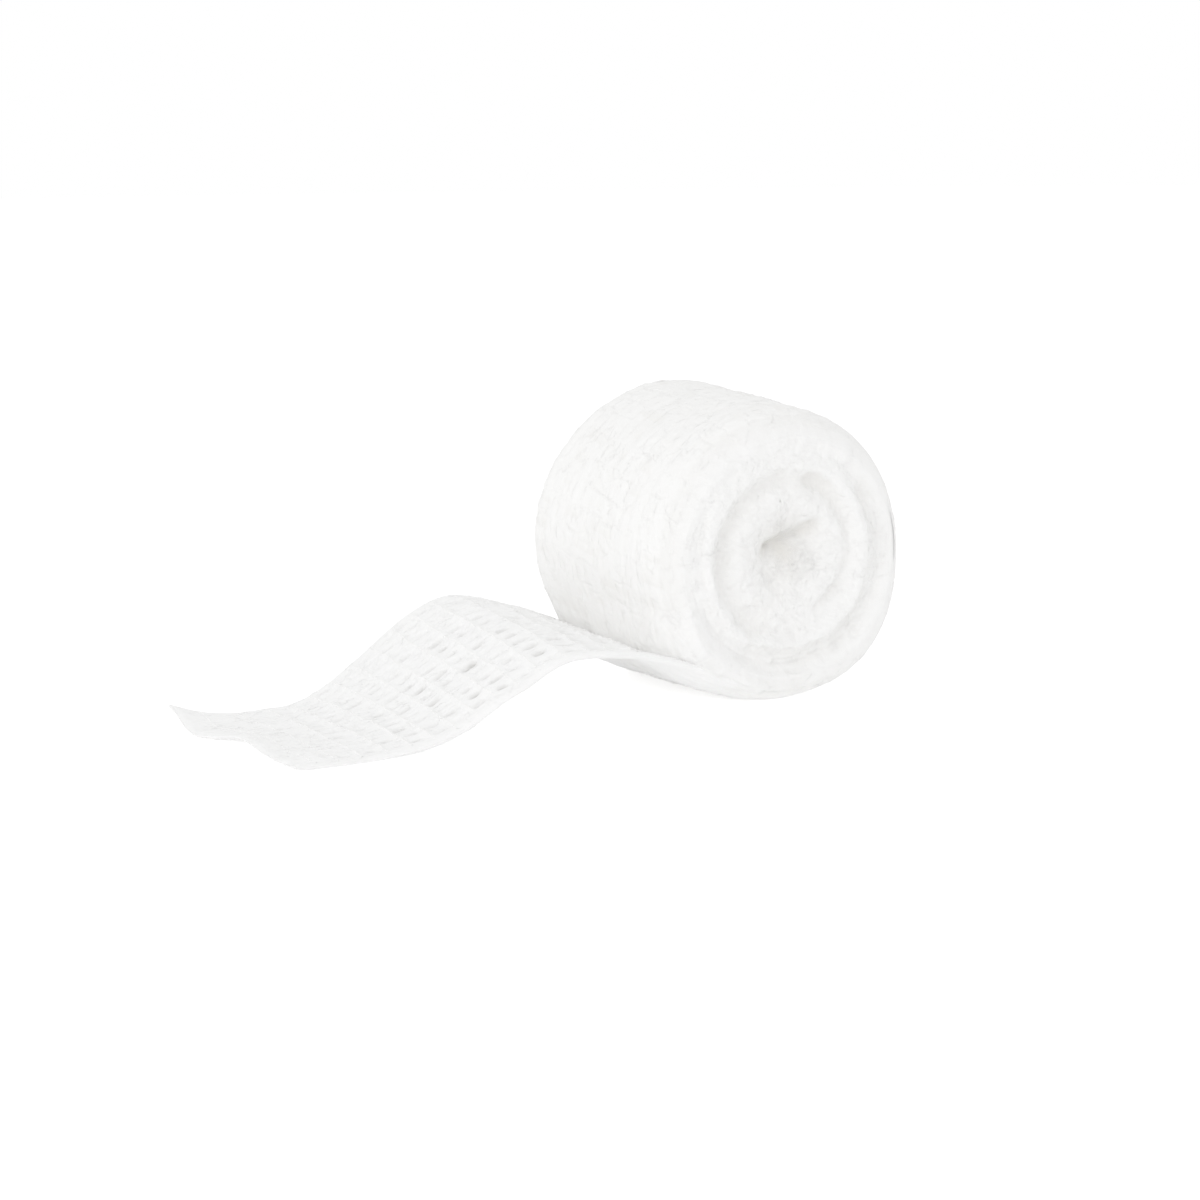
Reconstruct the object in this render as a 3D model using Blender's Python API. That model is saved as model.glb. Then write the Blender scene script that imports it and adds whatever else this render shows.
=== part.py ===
"""Gauze bandage: one long woven strip wound into a soft roll, with its loose end lying out to one side.

Row frame, metres: the roll's axis runs along Y, its open end that shows the core faces -Y, the loose end
runs out along -X, and +Z is up. The origin is the middle of the small flat spot under the roll.
"""
import math
from collections import namedtuple

import bmesh
import bpy
from mathutils import Vector

MM = 0.001
TAU = 2.0 * math.pi

# Driving dimensions
STRIP_WIDTH = 50.0 * MM        # the bandage's own width, edge to edge
STRIP_THICKNESS = 1.6 * MM     # two fluffy plies of gauze, uncompressed
AXIS_HEIGHT = 28.3 * MM        # the roll's axis above the surface it rests on
GAP = 0.3 * MM                 # air between the roll and its loose end
PEEL_ANGLE = math.radians(245) # where the loose end leaves the roll, counted from +X towards +Z

# Shoulders: how far the wall curls over towards each end face
NEAR_SHOULDER = 9.4 * MM
FAR_SHOULDER = 5.6 * MM

# Radius of the wall in millimetres at eight directions, counted from +X (right) towards +Z (top):
# right, upper right, top, upper left, left, lower left, bottom, lower right
NEAR_RADII = (27.5, 28.2, 28.5, 28.8, 28.8, 28.0, 26.9, 29.0)
FAR_RADII = (30.4, 30.4, 30.6, 30.9, 31.5, 29.6, 27.0, 29.3)

# The rings of the soft spiral on an end face, in millimetres. half_width and half_height give the ring's
# size, and the other columns its depth below the widest plane of the face, in four directions
Ring = namedtuple("Ring", "name half_width half_height right top left bottom")
NEAR_RINGS = (
    Ring("pit floor", 0.0, 0.0, 6.6, 6.6, 6.6, 6.6),
    Ring("pit lip", 4.6, 4.2, 3.4, 4.6, 3.2, 4.0),
    Ring("core crest", 11.0, 10.8, 1.0, 1.6, 1.3, 1.1),
    Ring("first groove", 14.8, 14.9, 1.7, 3.0, 3.2, 2.1),
    Ring("first crest", 18.3, 17.6, 0.5, 0.8, 0.3, 0.2),
    Ring("second groove", 21.7, 20.3, 1.9, 1.1, 0.9, 2.1),
    Ring("rim crest", 24.4, 23.6, 0.7, 0.5, 0.3, 0.6),
)
FAR_RINGS = (
    Ring("pit floor", 0.0, 0.0, 4.4, 4.4, 4.4, 4.4),
    Ring("pit lip", 5.2, 4.4, 2.6, 3.0, 2.9, 2.4),
    Ring("core crest", 10.2, 10.6, 1.2, 0.9, 1.0, 1.4),
    Ring("first groove", 14.2, 14.0, 2.4, 1.8, 1.5, 2.2),
    Ring("first crest", 18.0, 17.6, 0.4, 0.6, 0.7, 0.3),
    Ring("second groove", 22.4, 21.6, 1.0, 1.6, 1.9, 1.2),
    Ring("rim crest", 26.2, 25.4, 0.3, 0.4, 0.4, 0.3),
)
CORE_OFFSET = (-0.5 * MM, 1.5 * MM)  # how far the core sits from the axis, along X and Z

# The loose end, section by section from the roll to the cut, in millimetres. x is the section's place,
# curl is how much of the wall's curled-over edges it still has, and the rest is the height of its
# underside at the front edge, the quarters, the middle and the back edge
Section = namedtuple("Section", "x curl front front_quarter middle back_quarter back")
LOOSE_END = (
    Section(-16.0, 1.00, 3.3, 3.2, 2.9, 2.7, 2.5),
    Section(-19.0, 0.98, 4.7, 4.7, 4.6, 4.4, 4.1),
    Section(-22.0, 0.90, 6.1, 6.5, 6.7, 6.5, 6.2),
    Section(-26.0, 0.72, 8.0, 8.8, 9.4, 9.7, 9.6),
    Section(-30.0, 0.50, 9.9, 10.5, 11.1, 11.5, 11.7),
    Section(-34.0, 0.30, 11.6, 12.0, 12.6, 13.1, 13.5),
    Section(-38.0, 0.15, 12.8, 13.3, 13.9, 14.5, 15.0),
    Section(-42.0, 0.06, 13.5, 14.2, 15.0, 15.8, 16.4),
    Section(-46.0, 0.00, 13.8, 14.8, 15.8, 16.8, 17.4),
    Section(-50.0, 0.00, 13.3, 14.7, 16.0, 17.2, 17.9),
    Section(-54.0, 0.00, 11.6, 13.3, 14.9, 16.3, 17.2),
    Section(-58.0, 0.00, 9.5, 11.2, 12.9, 14.5, 15.6),
    Section(-62.0, 0.00, 7.6, 9.1, 10.6, 12.1, 13.3),
    Section(-66.0, 0.00, 5.5, 6.9, 8.3, 9.5, 10.5),
    Section(-70.0, 0.00, 3.5, 4.8, 6.0, 7.0, 7.6),
    Section(-74.0, 0.00, 2.0, 3.0, 4.0, 4.7, 4.9),
    Section(-78.0, 0.00, 0.9, 1.6, 2.3, 2.7, 2.7),
    Section(-82.0, 0.00, 0.3, 0.7, 1.1, 1.2, 1.0),
    Section(-86.0, 0.00, 0.0, 0.2, 0.3, 0.2, 0.1),
    Section(-91.0, 0.00, 0.0, 0.0, 0.0, 0.0, 0.0),
    Section(-96.0, 0.00, 0.1, 0.2, 0.2, 0.0, 0.1),
    Section(-101.0, 0.00, 0.2, 0.6, 0.9, 0.0, 1.4),
    Section(-106.0, 0.00, 0.4, 1.1, 1.6, 0.0, 3.8),
)
# Where the cut lies at the front edge, the quarters, the middle and the back edge, in millimetres
CUT_X = (-104.0, -105.6, -105.4, -109.2, -110.0)
CUT_REACH = 14.0 * MM          # the length over which the sections slant to meet the cut
END_NARROWING = 0.06           # the part of its width that the strip loses by the cut
FLAT_END_THICKNESS = 1.0 * MM  # thickness at the cut, where the fibres have thinned out

# Mesh resolution
ANGLE_STEPS = 72
STEPS_BETWEEN_RINGS = 3
FAR_STEPS_BETWEEN_RINGS = 2
SHOULDER_ARCS = (42, 56, 70, 82, 90)   # degrees round the shoulder, past the rim crest
WALL_STEPS = 4
STEPS_BETWEEN_SECTIONS = 2
LANE_STEPS = 16
ROUTE_STEP = 0.05               # how far ahead and behind a route is read for its slope, in sections

# Finish: bleached cotton and viscose
GAUZE_COLOUR = (0.93, 0.93, 0.925, 1.0)
LOOSE_COLOUR = (0.90, 0.90, 0.895, 1.0)
GAUZE_ROUGHNESS = 0.95


def mix(a, b, t):
    return a + (b - a) * t


def ease(t):
    return t * t * (3.0 - 2.0 * t)


def curve_through(p0, p1, p2, p3, t):
    """A smooth curve from p1 to p2 that keeps the run of its neighbours."""
    a = 2.0 * p1
    b = p2 - p0
    c = 2.0 * p0 - 5.0 * p1 + 4.0 * p2 - p3
    d = 3.0 * p1 - p0 - 3.0 * p2 + p3
    return 0.5 * (a + b * t + c * t * t + d * t * t * t)


def around(values, angle):
    """A value at an angle, from values at equal steps round the circle."""
    count = len(values)
    place = (angle % TAU) / TAU * count
    first = int(place) % count
    picks = [values[(first + k) % count] for k in (-1, 0, 1, 2)]
    return curve_through(*picks, place - int(place))


def along(values, place):
    """A value at a place along a list, where whole numbers are its entries."""
    last = len(values) - 1
    first = min(int(place), last - 1)
    picks = [values[min(max(first + k, 0), last)] for k in (-1, 0, 1, 2)]
    return curve_through(*picks, place - first)


def layer_rise(angle):
    """Height of the outer turn over the one below: a whole layer where the loose end starts, none a turn on."""
    turned = ((angle - PEEL_ANGLE) % TAU) / TAU
    return (STRIP_THICKNESS + GAP) * (1.0 - turned)


def wall_radius(angle, y):
    """Radius of the wall under its outer layer, between the two ends' own out-of-round shapes."""
    near_y = -STRIP_WIDTH / 2 + NEAR_SHOULDER
    far_y = STRIP_WIDTH / 2 - FAR_SHOULDER
    part = min(max((y - near_y) / (far_y - near_y), 0.0), 1.0)
    return mix(around(NEAR_RADII, angle), around(FAR_RADII, angle), part) * MM


def ring_radius(half_width, half_height, angle):
    if half_width == 0.0:
        return 0.0
    return 1.0 / math.hypot(math.cos(angle) / half_width, math.sin(angle) / half_height) * MM


def end_profile(rings, shoulder, steps, angle, rise):
    """Rows of (radius, depth, share of the axis in its centre), from the pit out to the start of the wall."""
    side = -1 if rings is NEAR_RINGS else 1
    wall = wall_radius(angle, side * (STRIP_WIDTH / 2 - shoulder))
    rows = []
    for inner, outer in zip(rings, rings[1:]):
        inner_radius = ring_radius(inner.half_width, inner.half_height, angle)
        outer_radius = ring_radius(outer.half_width, outer.half_height, angle)
        inner_depth = around(inner[3:], angle) * MM
        outer_depth = around(outer[3:], angle) * MM
        first = 0 if inner is rings[0] else 1
        for k in range(first, steps + 1):
            part = k / steps
            radius = mix(inner_radius, outer_radius, part)
            bend = max(radius - (wall - shoulder), 0.0) / shoulder
            rounding = shoulder * (1.0 - math.sqrt(1.0 - bend * bend))
            rows.append((radius, mix(inner_depth, outer_depth, ease(part)) + rounding, radius / wall))
    for degrees in SHOULDER_ARCS:
        arc = math.radians(degrees)
        radius = wall - shoulder + (shoulder + rise) * math.sin(arc)
        depth = shoulder - (shoulder + rise) * math.cos(arc) + outer_depth * math.cos(arc) ** 2
        rows.append((radius, depth, 1.0))
    return rows


def roll_column(angle, rise):
    """Points from the near pit, over the wall, to the far pit, at one angle."""
    points = []

    def add(radius, y, axis_share):
        x = mix(CORE_OFFSET[0], 0.0, axis_share) + radius * math.cos(angle)
        z = mix(CORE_OFFSET[1], 0.0, axis_share) + radius * math.sin(angle) + AXIS_HEIGHT
        points.append(Vector((x, y, max(z, 0.0))))

    half = STRIP_WIDTH / 2
    for radius, depth, share in end_profile(NEAR_RINGS, NEAR_SHOULDER, STEPS_BETWEEN_RINGS, angle, rise):
        add(radius, -half + depth, share)
    for k in range(1, WALL_STEPS):
        y = mix(-half + NEAR_SHOULDER, half - FAR_SHOULDER, k / WALL_STEPS)
        add(wall_radius(angle, y) + rise, y, 1.0)
    far = end_profile(FAR_RINGS, FAR_SHOULDER, FAR_STEPS_BETWEEN_RINGS, angle, rise)
    for radius, depth, share in reversed(far):
        add(radius, half - depth, share)
    return points


def build_roll():
    """The wound strip as one body: a soft barrel whose outer turn ends in a step, with a spiral on each end."""
    mesh = bmesh.new()
    columns = []
    for k in range(ANGLE_STEPS + 1):
        angle = PEEL_ANGLE + TAU * k / ANGLE_STEPS
        rise = layer_rise(angle) if k < ANGLE_STEPS else 0.0
        columns.append([mesh.verts.new(p) for p in roll_column(angle, rise)])
    for left, right in zip(columns, columns[1:] + columns[:1]):
        for row in range(len(left) - 1):
            mesh.faces.new((left[row], right[row], right[row + 1], left[row + 1]))
    bmesh.ops.remove_doubles(mesh, verts=mesh.verts, dist=0.01 * MM)
    return finish("wound_roll", mesh, GAUZE_COLOUR)


def edge_curl(across, curl):
    """Place across the strip and lift of a point whose flat place is across, with its edges curled over."""
    shoulder = NEAR_SHOULDER if across < 0 else FAR_SHOULDER
    flat = STRIP_WIDTH / 2 - shoulder
    past = abs(across) - flat
    if past <= 0.0 or curl < 0.01:
        return across, 0.0
    bend = (shoulder + GAP + STRIP_THICKNESS) / curl
    turn = past / bend
    return math.copysign(flat + bend * math.sin(turn), across), bend * (1.0 - math.cos(turn))


def lane_route(lane):
    """Sections' (x, height, curl) for one lane of the underside, from 0 at the front edge to 1 at the back."""
    width = STRIP_WIDTH * (lane - 0.5)
    radius = wall_radius(PEEL_ANGLE, width) + GAP + STRIP_THICKNESS
    angle = PEEL_ANGLE - GAP / radius
    route = [(radius * math.cos(angle), radius * math.sin(angle) + AXIS_HEIGHT, 1.0)]
    cut_x = along(CUT_X, lane * 4) * MM
    last_x = LOOSE_END[-1].x * MM
    for section in LOOSE_END:
        x = section.x * MM
        slant = ease(min(max(1.0 - (x - last_x) / CUT_REACH, 0.0), 1.0))
        route.append((x + (cut_x - last_x) * slant, along(section[2:], lane * 4) * MM, section.curl))
    return route


def clear_of_roll(point):
    """Moves an underside point outwards until the strip above it clears the turn it lies against."""
    angle = math.atan2(point.z - AXIS_HEIGHT, point.x)
    radius = math.hypot(point.x, point.z - AXIS_HEIGHT)
    turned = ((angle - PEEL_ANGLE) % TAU) / TAU
    rise = layer_rise(angle) if turned > 0.5 else 0.0
    shoulder = NEAR_SHOULDER if point.y < 0 else FAR_SHOULDER
    needed = shoulder + rise + GAP + STRIP_THICKNESS
    out = radius - (wall_radius(angle, point.y) - shoulder)
    past = max(abs(point.y) - (STRIP_WIDTH / 2 - shoulder), 0.0)
    reach = math.hypot(out, past)
    if reach >= needed or out <= 0.0:
        return point
    push = needed / reach - 1.0
    shift = Vector((math.cos(angle) * out, math.copysign(past, point.y), math.sin(angle) * out)) * push
    return point + shift


def strip_point(route, lane, place):
    """A point of the underside on one lane's route."""
    x, z, curl = (along([section[k] for section in route], place) for k in range(3))
    ahead = min(place + ROUTE_STEP, len(route) - 1)
    behind = max(place - ROUTE_STEP, 0.0)
    run_x, run_z = (along([s[k] for s in route], ahead) - along([s[k] for s in route], behind) for k in (0, 1))
    width = STRIP_WIDTH * (1.0 - END_NARROWING * ease(place / (len(route) - 1)))
    y, lift = edge_curl((lane - 0.5) * width, curl)
    up = Vector((run_z, 0.0, -run_x)).normalized()
    return clear_of_roll(Vector((x, y, z)) + up * lift)


def strip_sections():
    """Rows of underside points across the strip, one row for each step from the roll to the cut."""
    lanes = [k / LANE_STEPS for k in range(LANE_STEPS + 1)]
    routes = [lane_route(lane) for lane in lanes]
    count = (len(routes[0]) - 1) * STEPS_BETWEEN_SECTIONS
    rows = []
    for k in range(count + 1):
        place = k / STEPS_BETWEEN_SECTIONS
        rows.append([strip_point(route, lane, place) for route, lane in zip(routes, lanes)])
    return rows


def top_side(rows):
    """The strip's upper surface: each underside point moved by the thickness along the surface's normal."""
    top = []
    for i, row in enumerate(rows):
        run = i / (len(rows) - 1)
        thickness = mix(STRIP_THICKNESS, FLAT_END_THICKNESS, ease(max(run * 3.0 - 2.0, 0.0)))
        raised = []
        for j, point in enumerate(row):
            out = rows[min(i + 1, len(rows) - 1)][j] - rows[max(i - 1, 0)][j]
            across = row[min(j + 1, LANE_STEPS)] - row[max(j - 1, 0)]
            raised.append(point + across.cross(out).normalized() * thickness)
        top.append(raised)
    return top


def build_loose_end():
    """The strip's last stretch: off the roll, over one low hump and down to its cut end."""
    mesh = bmesh.new()
    under = strip_sections()
    loops = []
    for low, high in zip(under, top_side(under)):
        loops.append([mesh.verts.new(p) for p in low + high[::-1]])
    size = len(loops[0])
    for near, far in zip(loops, loops[1:]):
        for k in range(size):
            after = (k + 1) % size
            mesh.faces.new((near[k], near[after], far[after], far[k]))
    for loop in (loops[0], loops[-1]):
        for k in range(LANE_STEPS):
            mesh.faces.new((loop[k], loop[k + 1], loop[size - 2 - k], loop[size - 1 - k]))
    return finish("loose_end", mesh, LOOSE_COLOUR)


def finish(name, mesh, colour):
    """Turns a mesh into a smooth-shaded object with its material."""
    bmesh.ops.recalc_face_normals(mesh, faces=mesh.faces)
    data = bpy.data.meshes.new(name)
    mesh.to_mesh(data)
    mesh.free()
    data.shade_smooth()
    data.set_sharp_from_angle(angle=math.radians(60))
    material = bpy.data.materials.new(name)
    material.use_nodes = True
    shader = material.node_tree.nodes["Principled BSDF"]
    shader.inputs["Base Color"].default_value = colour
    shader.inputs["Roughness"].default_value = GAUZE_ROUGHNESS
    shader.inputs["Metallic"].default_value = 0.0
    data.materials.append(material)
    result = bpy.data.objects.new(name, data)
    bpy.context.scene.collection.objects.link(result)
    return result


def main():
    for old in list(bpy.data.objects):
        bpy.data.objects.remove(old, do_unlink=True)
    build_roll()
    build_loose_end()


main()
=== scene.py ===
"""Gauze bandage roll: the looks.

The wound strip is laid as three surfaces that meet without a seam, the wall of the outer turn and the two
end faces with the edges of the turns. The loose end is one closed sheet of open weave. Thin weft threads and
stray cotton fibres lie on both. Lengths are in millimetres until a mesh is laid, and the roll's axis runs
along Y, as in the frame.
"""

import math
from collections import namedtuple
from itertools import product

import bpy
import numpy as np
from mathutils import Matrix, Vector


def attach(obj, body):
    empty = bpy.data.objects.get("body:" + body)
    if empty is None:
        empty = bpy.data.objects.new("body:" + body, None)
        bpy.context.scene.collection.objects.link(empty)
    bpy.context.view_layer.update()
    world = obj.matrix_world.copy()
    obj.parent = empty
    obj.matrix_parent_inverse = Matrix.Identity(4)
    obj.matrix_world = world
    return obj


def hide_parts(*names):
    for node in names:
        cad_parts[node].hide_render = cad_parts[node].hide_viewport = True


bl_info = {
    "name": "Gauze Bandage Roll",
    "version": (1, 0, 0),
    "blender": (4, 5, 0),
    "location": "View3D > Sidebar > Gauze",
    "description": "Lays the surfaces, threads and fibres of a wound gauze bandage round its frame",
    "category": "Add Mesh",
}

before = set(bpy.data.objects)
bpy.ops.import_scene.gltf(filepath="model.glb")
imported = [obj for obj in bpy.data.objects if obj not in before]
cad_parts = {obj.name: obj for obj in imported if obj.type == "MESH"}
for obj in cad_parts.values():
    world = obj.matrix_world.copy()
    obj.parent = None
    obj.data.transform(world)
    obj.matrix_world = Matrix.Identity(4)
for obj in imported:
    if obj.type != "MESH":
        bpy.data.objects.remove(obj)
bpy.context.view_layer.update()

MM = 0.001
TAU = 2.0 * math.pi
BODY = "root"
ROLL_NODE = "wound_roll"
LOOSE_NODE = "loose_end"

# The wound form, the same as in the frame's solids. Radii of the wall at eight directions, from +X (right)
# towards +Z (top): right, upper right, top, upper left, left, lower left, bottom, lower right
NEAR_RADII = (27.5, 28.2, 28.5, 28.8, 28.8, 28.0, 26.9, 29.0)
FAR_RADII = (30.4, 30.4, 30.6, 30.9, 31.5, 29.6, 27.0, 29.3)
Ring = namedtuple("Ring", "name half_width half_height right top left bottom")
NEAR_RINGS = (
    Ring("pit floor", 0.0, 0.0, 6.6, 6.6, 6.6, 6.6),
    Ring("pit lip", 4.6, 4.2, 3.4, 4.6, 3.2, 4.0),
    Ring("core crest", 11.0, 10.8, 1.0, 1.6, 1.3, 1.1),
    Ring("first groove", 14.8, 14.9, 1.7, 3.0, 3.2, 2.1),
    Ring("first crest", 18.3, 17.6, 0.5, 0.8, 0.3, 0.2),
    Ring("second groove", 21.7, 20.3, 1.9, 1.1, 0.9, 2.1),
    Ring("rim crest", 24.4, 23.6, 0.7, 0.5, 0.3, 0.6),
)
FAR_RINGS = (
    Ring("pit floor", 0.0, 0.0, 4.4, 4.4, 4.4, 4.4),
    Ring("pit lip", 5.2, 4.4, 2.6, 3.0, 2.9, 2.4),
    Ring("core crest", 10.2, 10.6, 1.2, 0.9, 1.0, 1.4),
    Ring("first groove", 14.2, 14.0, 2.4, 1.8, 1.5, 2.2),
    Ring("first crest", 18.0, 17.6, 0.4, 0.6, 0.7, 0.3),
    Ring("second groove", 22.4, 21.6, 1.0, 1.6, 1.9, 1.2),
    Ring("rim crest", 26.2, 25.4, 0.3, 0.4, 0.4, 0.3),
)
CORE_OFFSET = (-0.5, 1.5)
WALL_WEFT_STEP = 1.1     # how far a weft line may jump from bundle to bundle on the roll
LOOSE_WEFT_STEP = 0.14   # the same on the loose end, where the cloth lies relaxed

# The loose end, section by section from the roll to the cut: x, how much of the wall's curled-over edges is
# left, and the height of the underside at the front edge, the quarters, the middle and the back edge
Section = namedtuple("Section", "x curl front front_quarter middle back_quarter back")
LOOSE_END = (
    Section(-16.0, 1.00, 3.3, 3.2, 2.9, 2.7, 2.5),
    Section(-19.0, 0.98, 4.7, 4.7, 4.6, 4.4, 4.1),
    Section(-22.0, 0.90, 6.1, 6.5, 6.7, 6.5, 6.2),
    Section(-26.0, 0.72, 8.0, 8.8, 9.4, 9.7, 9.6),
    Section(-30.0, 0.50, 9.9, 10.5, 11.1, 11.5, 11.7),
    Section(-34.0, 0.30, 11.6, 12.0, 12.6, 13.1, 13.5),
    Section(-38.0, 0.15, 12.8, 13.3, 13.9, 14.5, 15.0),
    Section(-42.0, 0.06, 13.5, 14.2, 15.0, 15.8, 16.4),
    Section(-46.0, 0.00, 13.8, 14.8, 15.8, 16.8, 17.4),
    Section(-50.0, 0.00, 13.3, 14.7, 16.0, 17.2, 17.9),
    Section(-54.0, 0.00, 11.6, 13.3, 14.9, 16.3, 17.2),
    Section(-58.0, 0.00, 9.5, 11.2, 12.9, 14.5, 15.6),
    Section(-62.0, 0.00, 7.6, 9.1, 10.6, 12.1, 13.3),
    Section(-66.0, 0.00, 5.5, 6.9, 8.3, 9.5, 10.5),
    Section(-70.0, 0.00, 3.5, 4.8, 6.0, 7.0, 7.6),
    Section(-74.0, 0.00, 2.0, 3.0, 4.0, 4.7, 4.9),
    Section(-78.0, 0.00, 0.9, 1.6, 2.3, 2.7, 2.7),
    Section(-82.0, 0.00, 0.3, 0.7, 1.1, 1.2, 1.0),
    Section(-86.0, 0.00, 0.0, 0.2, 0.3, 0.2, 0.1),
    Section(-91.0, 0.00, 0.0, 0.0, 0.0, 0.0, 0.0),
    Section(-96.0, 0.00, 0.1, 0.2, 0.2, 0.0, 0.1),
    Section(-101.0, 0.00, 0.2, 0.6, 0.9, 0.0, 1.4),
    Section(-106.0, 0.00, 0.4, 1.1, 1.6, 0.0, 3.8),
)
CUT_X = (-104.0, -105.6, -105.4, -109.2, -110.0)
CUT_REACH = 14.0
END_NARROWING = 0.06
FLAT_END_THICKNESS = 1.0
ROUTE_STEP = 0.05               # the way ahead and back that gives a route's direction
SAME_PLACE = 1e-6               # points nearer than this are one
TINY = 1e-9                     # keeps a division from failing

# How finely the surfaces are laid
ROLL_COLUMNS = 720
NEAR_ROW_STEP = 0.34
FAR_ROW_STEP = 0.5
WALL_ROW_STEP = 0.4
ARC_START = 42.0                # degrees round a shoulder where its rows begin
FACE_ARC_END = 60.0             # degrees round a shoulder where an end face meets the wall
NEAR_BLEND_ROWS = 18            # rows over which an end face's relief passes into the wall's
FAR_BLEND_ROWS = 8
LANES = 144
LOOSE_ROW_STEP = 0.36
MEAN_RADIUS = 30.0              # of the wall, to turn an angle into a run round the roll

# The strip's start runs on round the roll, under its surface, where it is hidden
TUCK_ANGLES = (14.0, 11.0, 8.0, 5.5, 3.5, 2.0, 0.9)   # degrees that each hidden row lies past the peel
TUCK_DEPTH = 0.4                # how much deeper the row furthest in lies
START_SINK = 0.55               # how deep the strip's outer side starts under the roll's surface
START_REACH = 7.0               # the run over which it comes up to the surface

# Where the strip leaves, the turn below clings to it and is drawn out: how far it stands out at every
# CLING_STEP degrees before the peel angle, at the near and the far end of the wall
CLING_STEP = 5.0
NEAR_CLING = (1.9, 1.8, 2.0, 2.3, 2.75, 3.2, 3.5, 3.0, 2.0, 0.9, 0.0)
FAR_CLING = (1.9, 1.75, 1.7, 1.75, 1.75, 1.6, 1.3, 0.8, 0.4, 0.1, 0.0)


# ---------------------------------------------------------------------------------------------------------
# Sizes and colours
# ---------------------------------------------------------------------------------------------------------
def length(name, description, millimetres):
    return bpy.props.FloatProperty(
        name=name, description=description, default=millimetres * MM, min=0.0, precision=5,
        subtype="DISTANCE", unit="LENGTH",
    )


def share(name, description, default):
    return bpy.props.FloatProperty(name=name, description=description, default=default, min=0.0, max=1.0)


def colour(name, description, default):
    return bpy.props.FloatVectorProperty(
        name=name, description=description, default=default, size=3, min=0.0, max=1.0, subtype="COLOR",
    )


class StripSizes(bpy.types.PropertyGroup):
    """Sizes of the strip and of the way it is wound"""

    width: length("Strip width", "The bandage's width from edge to edge", 50.0)
    thickness: length("Strip thickness", "Thickness of the fluffy gauze", 1.6)
    gap: length("Layer gap", "Air between the roll and the strip that leaves it", 0.3)
    axis_height: length("Axis height", "Height of the roll's axis", 28.3)
    near_shoulder: length("Near shoulder", "How far the wall curls over towards the near face", 9.4)
    far_shoulder: length("Far shoulder", "How far the wall curls over towards the far face", 5.6)
    peel_angle: bpy.props.FloatProperty(
        name="Peel angle", description="Where the loose end leaves the roll, from +X towards +Z",
        default=math.radians(245), subtype="ANGLE", unit="ROTATION",
    )


class WeaveSizes(bpy.types.PropertyGroup):
    """Sizes of the gauze's weave"""

    bundle: length("Bundle pitch", "Distance between bundles of warp yarn", 3.57)
    weft: length("Weft pitch", "Distance between weft threads", 5.0)
    slot_length: length("Slot length", "Half the length of a gap between two bundles", 1.35)
    slot_width: length("Slot width", "Half the width of a gap between two bundles", 0.64)
    slot_depth: length("Slot depth", "How deep a gap is pressed into one side of the strip", 1.2)
    strand: length("Strand relief", "How far a warp strand stands proud", 0.11)
    selvedge: length("Selvedge width", "Width of the smooth band along each edge", 2.6)
    thread: length("Thread radius", "Radius of a weft thread", 0.15)


class FluffSizes(bpy.types.PropertyGroup):
    """Sizes of the tufts and stray fibres"""

    tuft: length("Tuft height", "How far tufts stand out on the end faces", 0.25)
    nap: length("Nap height", "Relief of the brushed surface on the wall and the loose end", 0.13)
    fibre_length: length("Fibre length", "Usual length of a stray fibre", 4.2)
    fibre_radius: length("Fibre radius", "Radius of a stray fibre", 0.028)
    roll_fibres: bpy.props.IntProperty(
        name="Fibres on the roll", description="Number of stray fibres on the roll", default=3600, min=0,
    )
    loose_fibres: bpy.props.IntProperty(
        name="Fibres on the loose end", description="Number of stray fibres on the loose end",
        default=1500, min=0,
    )


class FinishColours(bpy.types.PropertyGroup):
    """Colours of the bleached cotton, and of the shade painted into its recesses and gaps"""

    cotton: colour("Cotton", "The bleached cotton where it is full", (0.975, 0.975, 0.973))
    # Painted shade: the darker warm tone that the cotton takes deep between turns and strands, in the end faces'
    # dents and in the wall's gaps; on the wall it also gives a warm mottle
    hollow: colour("Hollow", "The cotton deep between turns and strands", (0.80, 0.785, 0.75))
    # Painted shade: the dark tone of the thin cloth that closes the loose end's gaps, put where the open weave
    # would show shadow
    gap: colour("Gap", "The thin cloth in the gaps between the loose end's bundles", (0.66, 0.655, 0.64))
    thread: colour("Thread", "The weft threads", (0.985, 0.985, 0.983))
    mottle: share("Mottle", "How much the white varies from place to place", 0.12)


class StageSettings(bpy.types.PropertyGroup):
    """Floor, light and camera"""

    lens: bpy.props.FloatProperty(name="Lens", description="Focal length in millimetres", default=78.0)
    azimuth: bpy.props.FloatProperty(
        name="Azimuth", description="Direction of the view round the upright axis",
        default=math.radians(-29.9), subtype="ANGLE", unit="ROTATION",
    )
    elevation: bpy.props.FloatProperty(
        name="Elevation", description="Height of the view above the horizon",
        default=math.radians(10.36), subtype="ANGLE", unit="ROTATION",
    )
    tilt: bpy.props.FloatProperty(
        name="Tilt", description="Turn of the camera about its own line of sight",
        default=math.radians(-0.64), subtype="ANGLE", unit="ROTATION",
    )
    distance: length("Distance", "From the camera to the point it looks at", 503.0)
    floor: colour("Floor", "The floor's colour", (0.93, 0.93, 0.93))
    sky: bpy.props.FloatProperty(name="Sky light", description="Strength of the light all round", default=0.91)
    key: bpy.props.FloatProperty(name="Key light", description="Power of the soft key light", default=0.7)


PROPERTY_GROUPS = {
    "gauze_strip": StripSizes,
    "gauze_weave": WeaveSizes,
    "gauze_fluff": FluffSizes,
    "gauze_finish": FinishColours,
    "gauze_stage": StageSettings,
}


def sizes(group):
    """A property group's lengths in millimetres and its other values as they are."""
    held = getattr(bpy.context.scene, group)
    found = {}
    for key, kind in held.bl_rna.properties.items():
        if key in ("rna_type", "name"):
            continue
        value = getattr(held, key)
        found[key] = value / MM if kind.unit == "LENGTH" else value
    return namedtuple(group, found)(**found)


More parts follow.
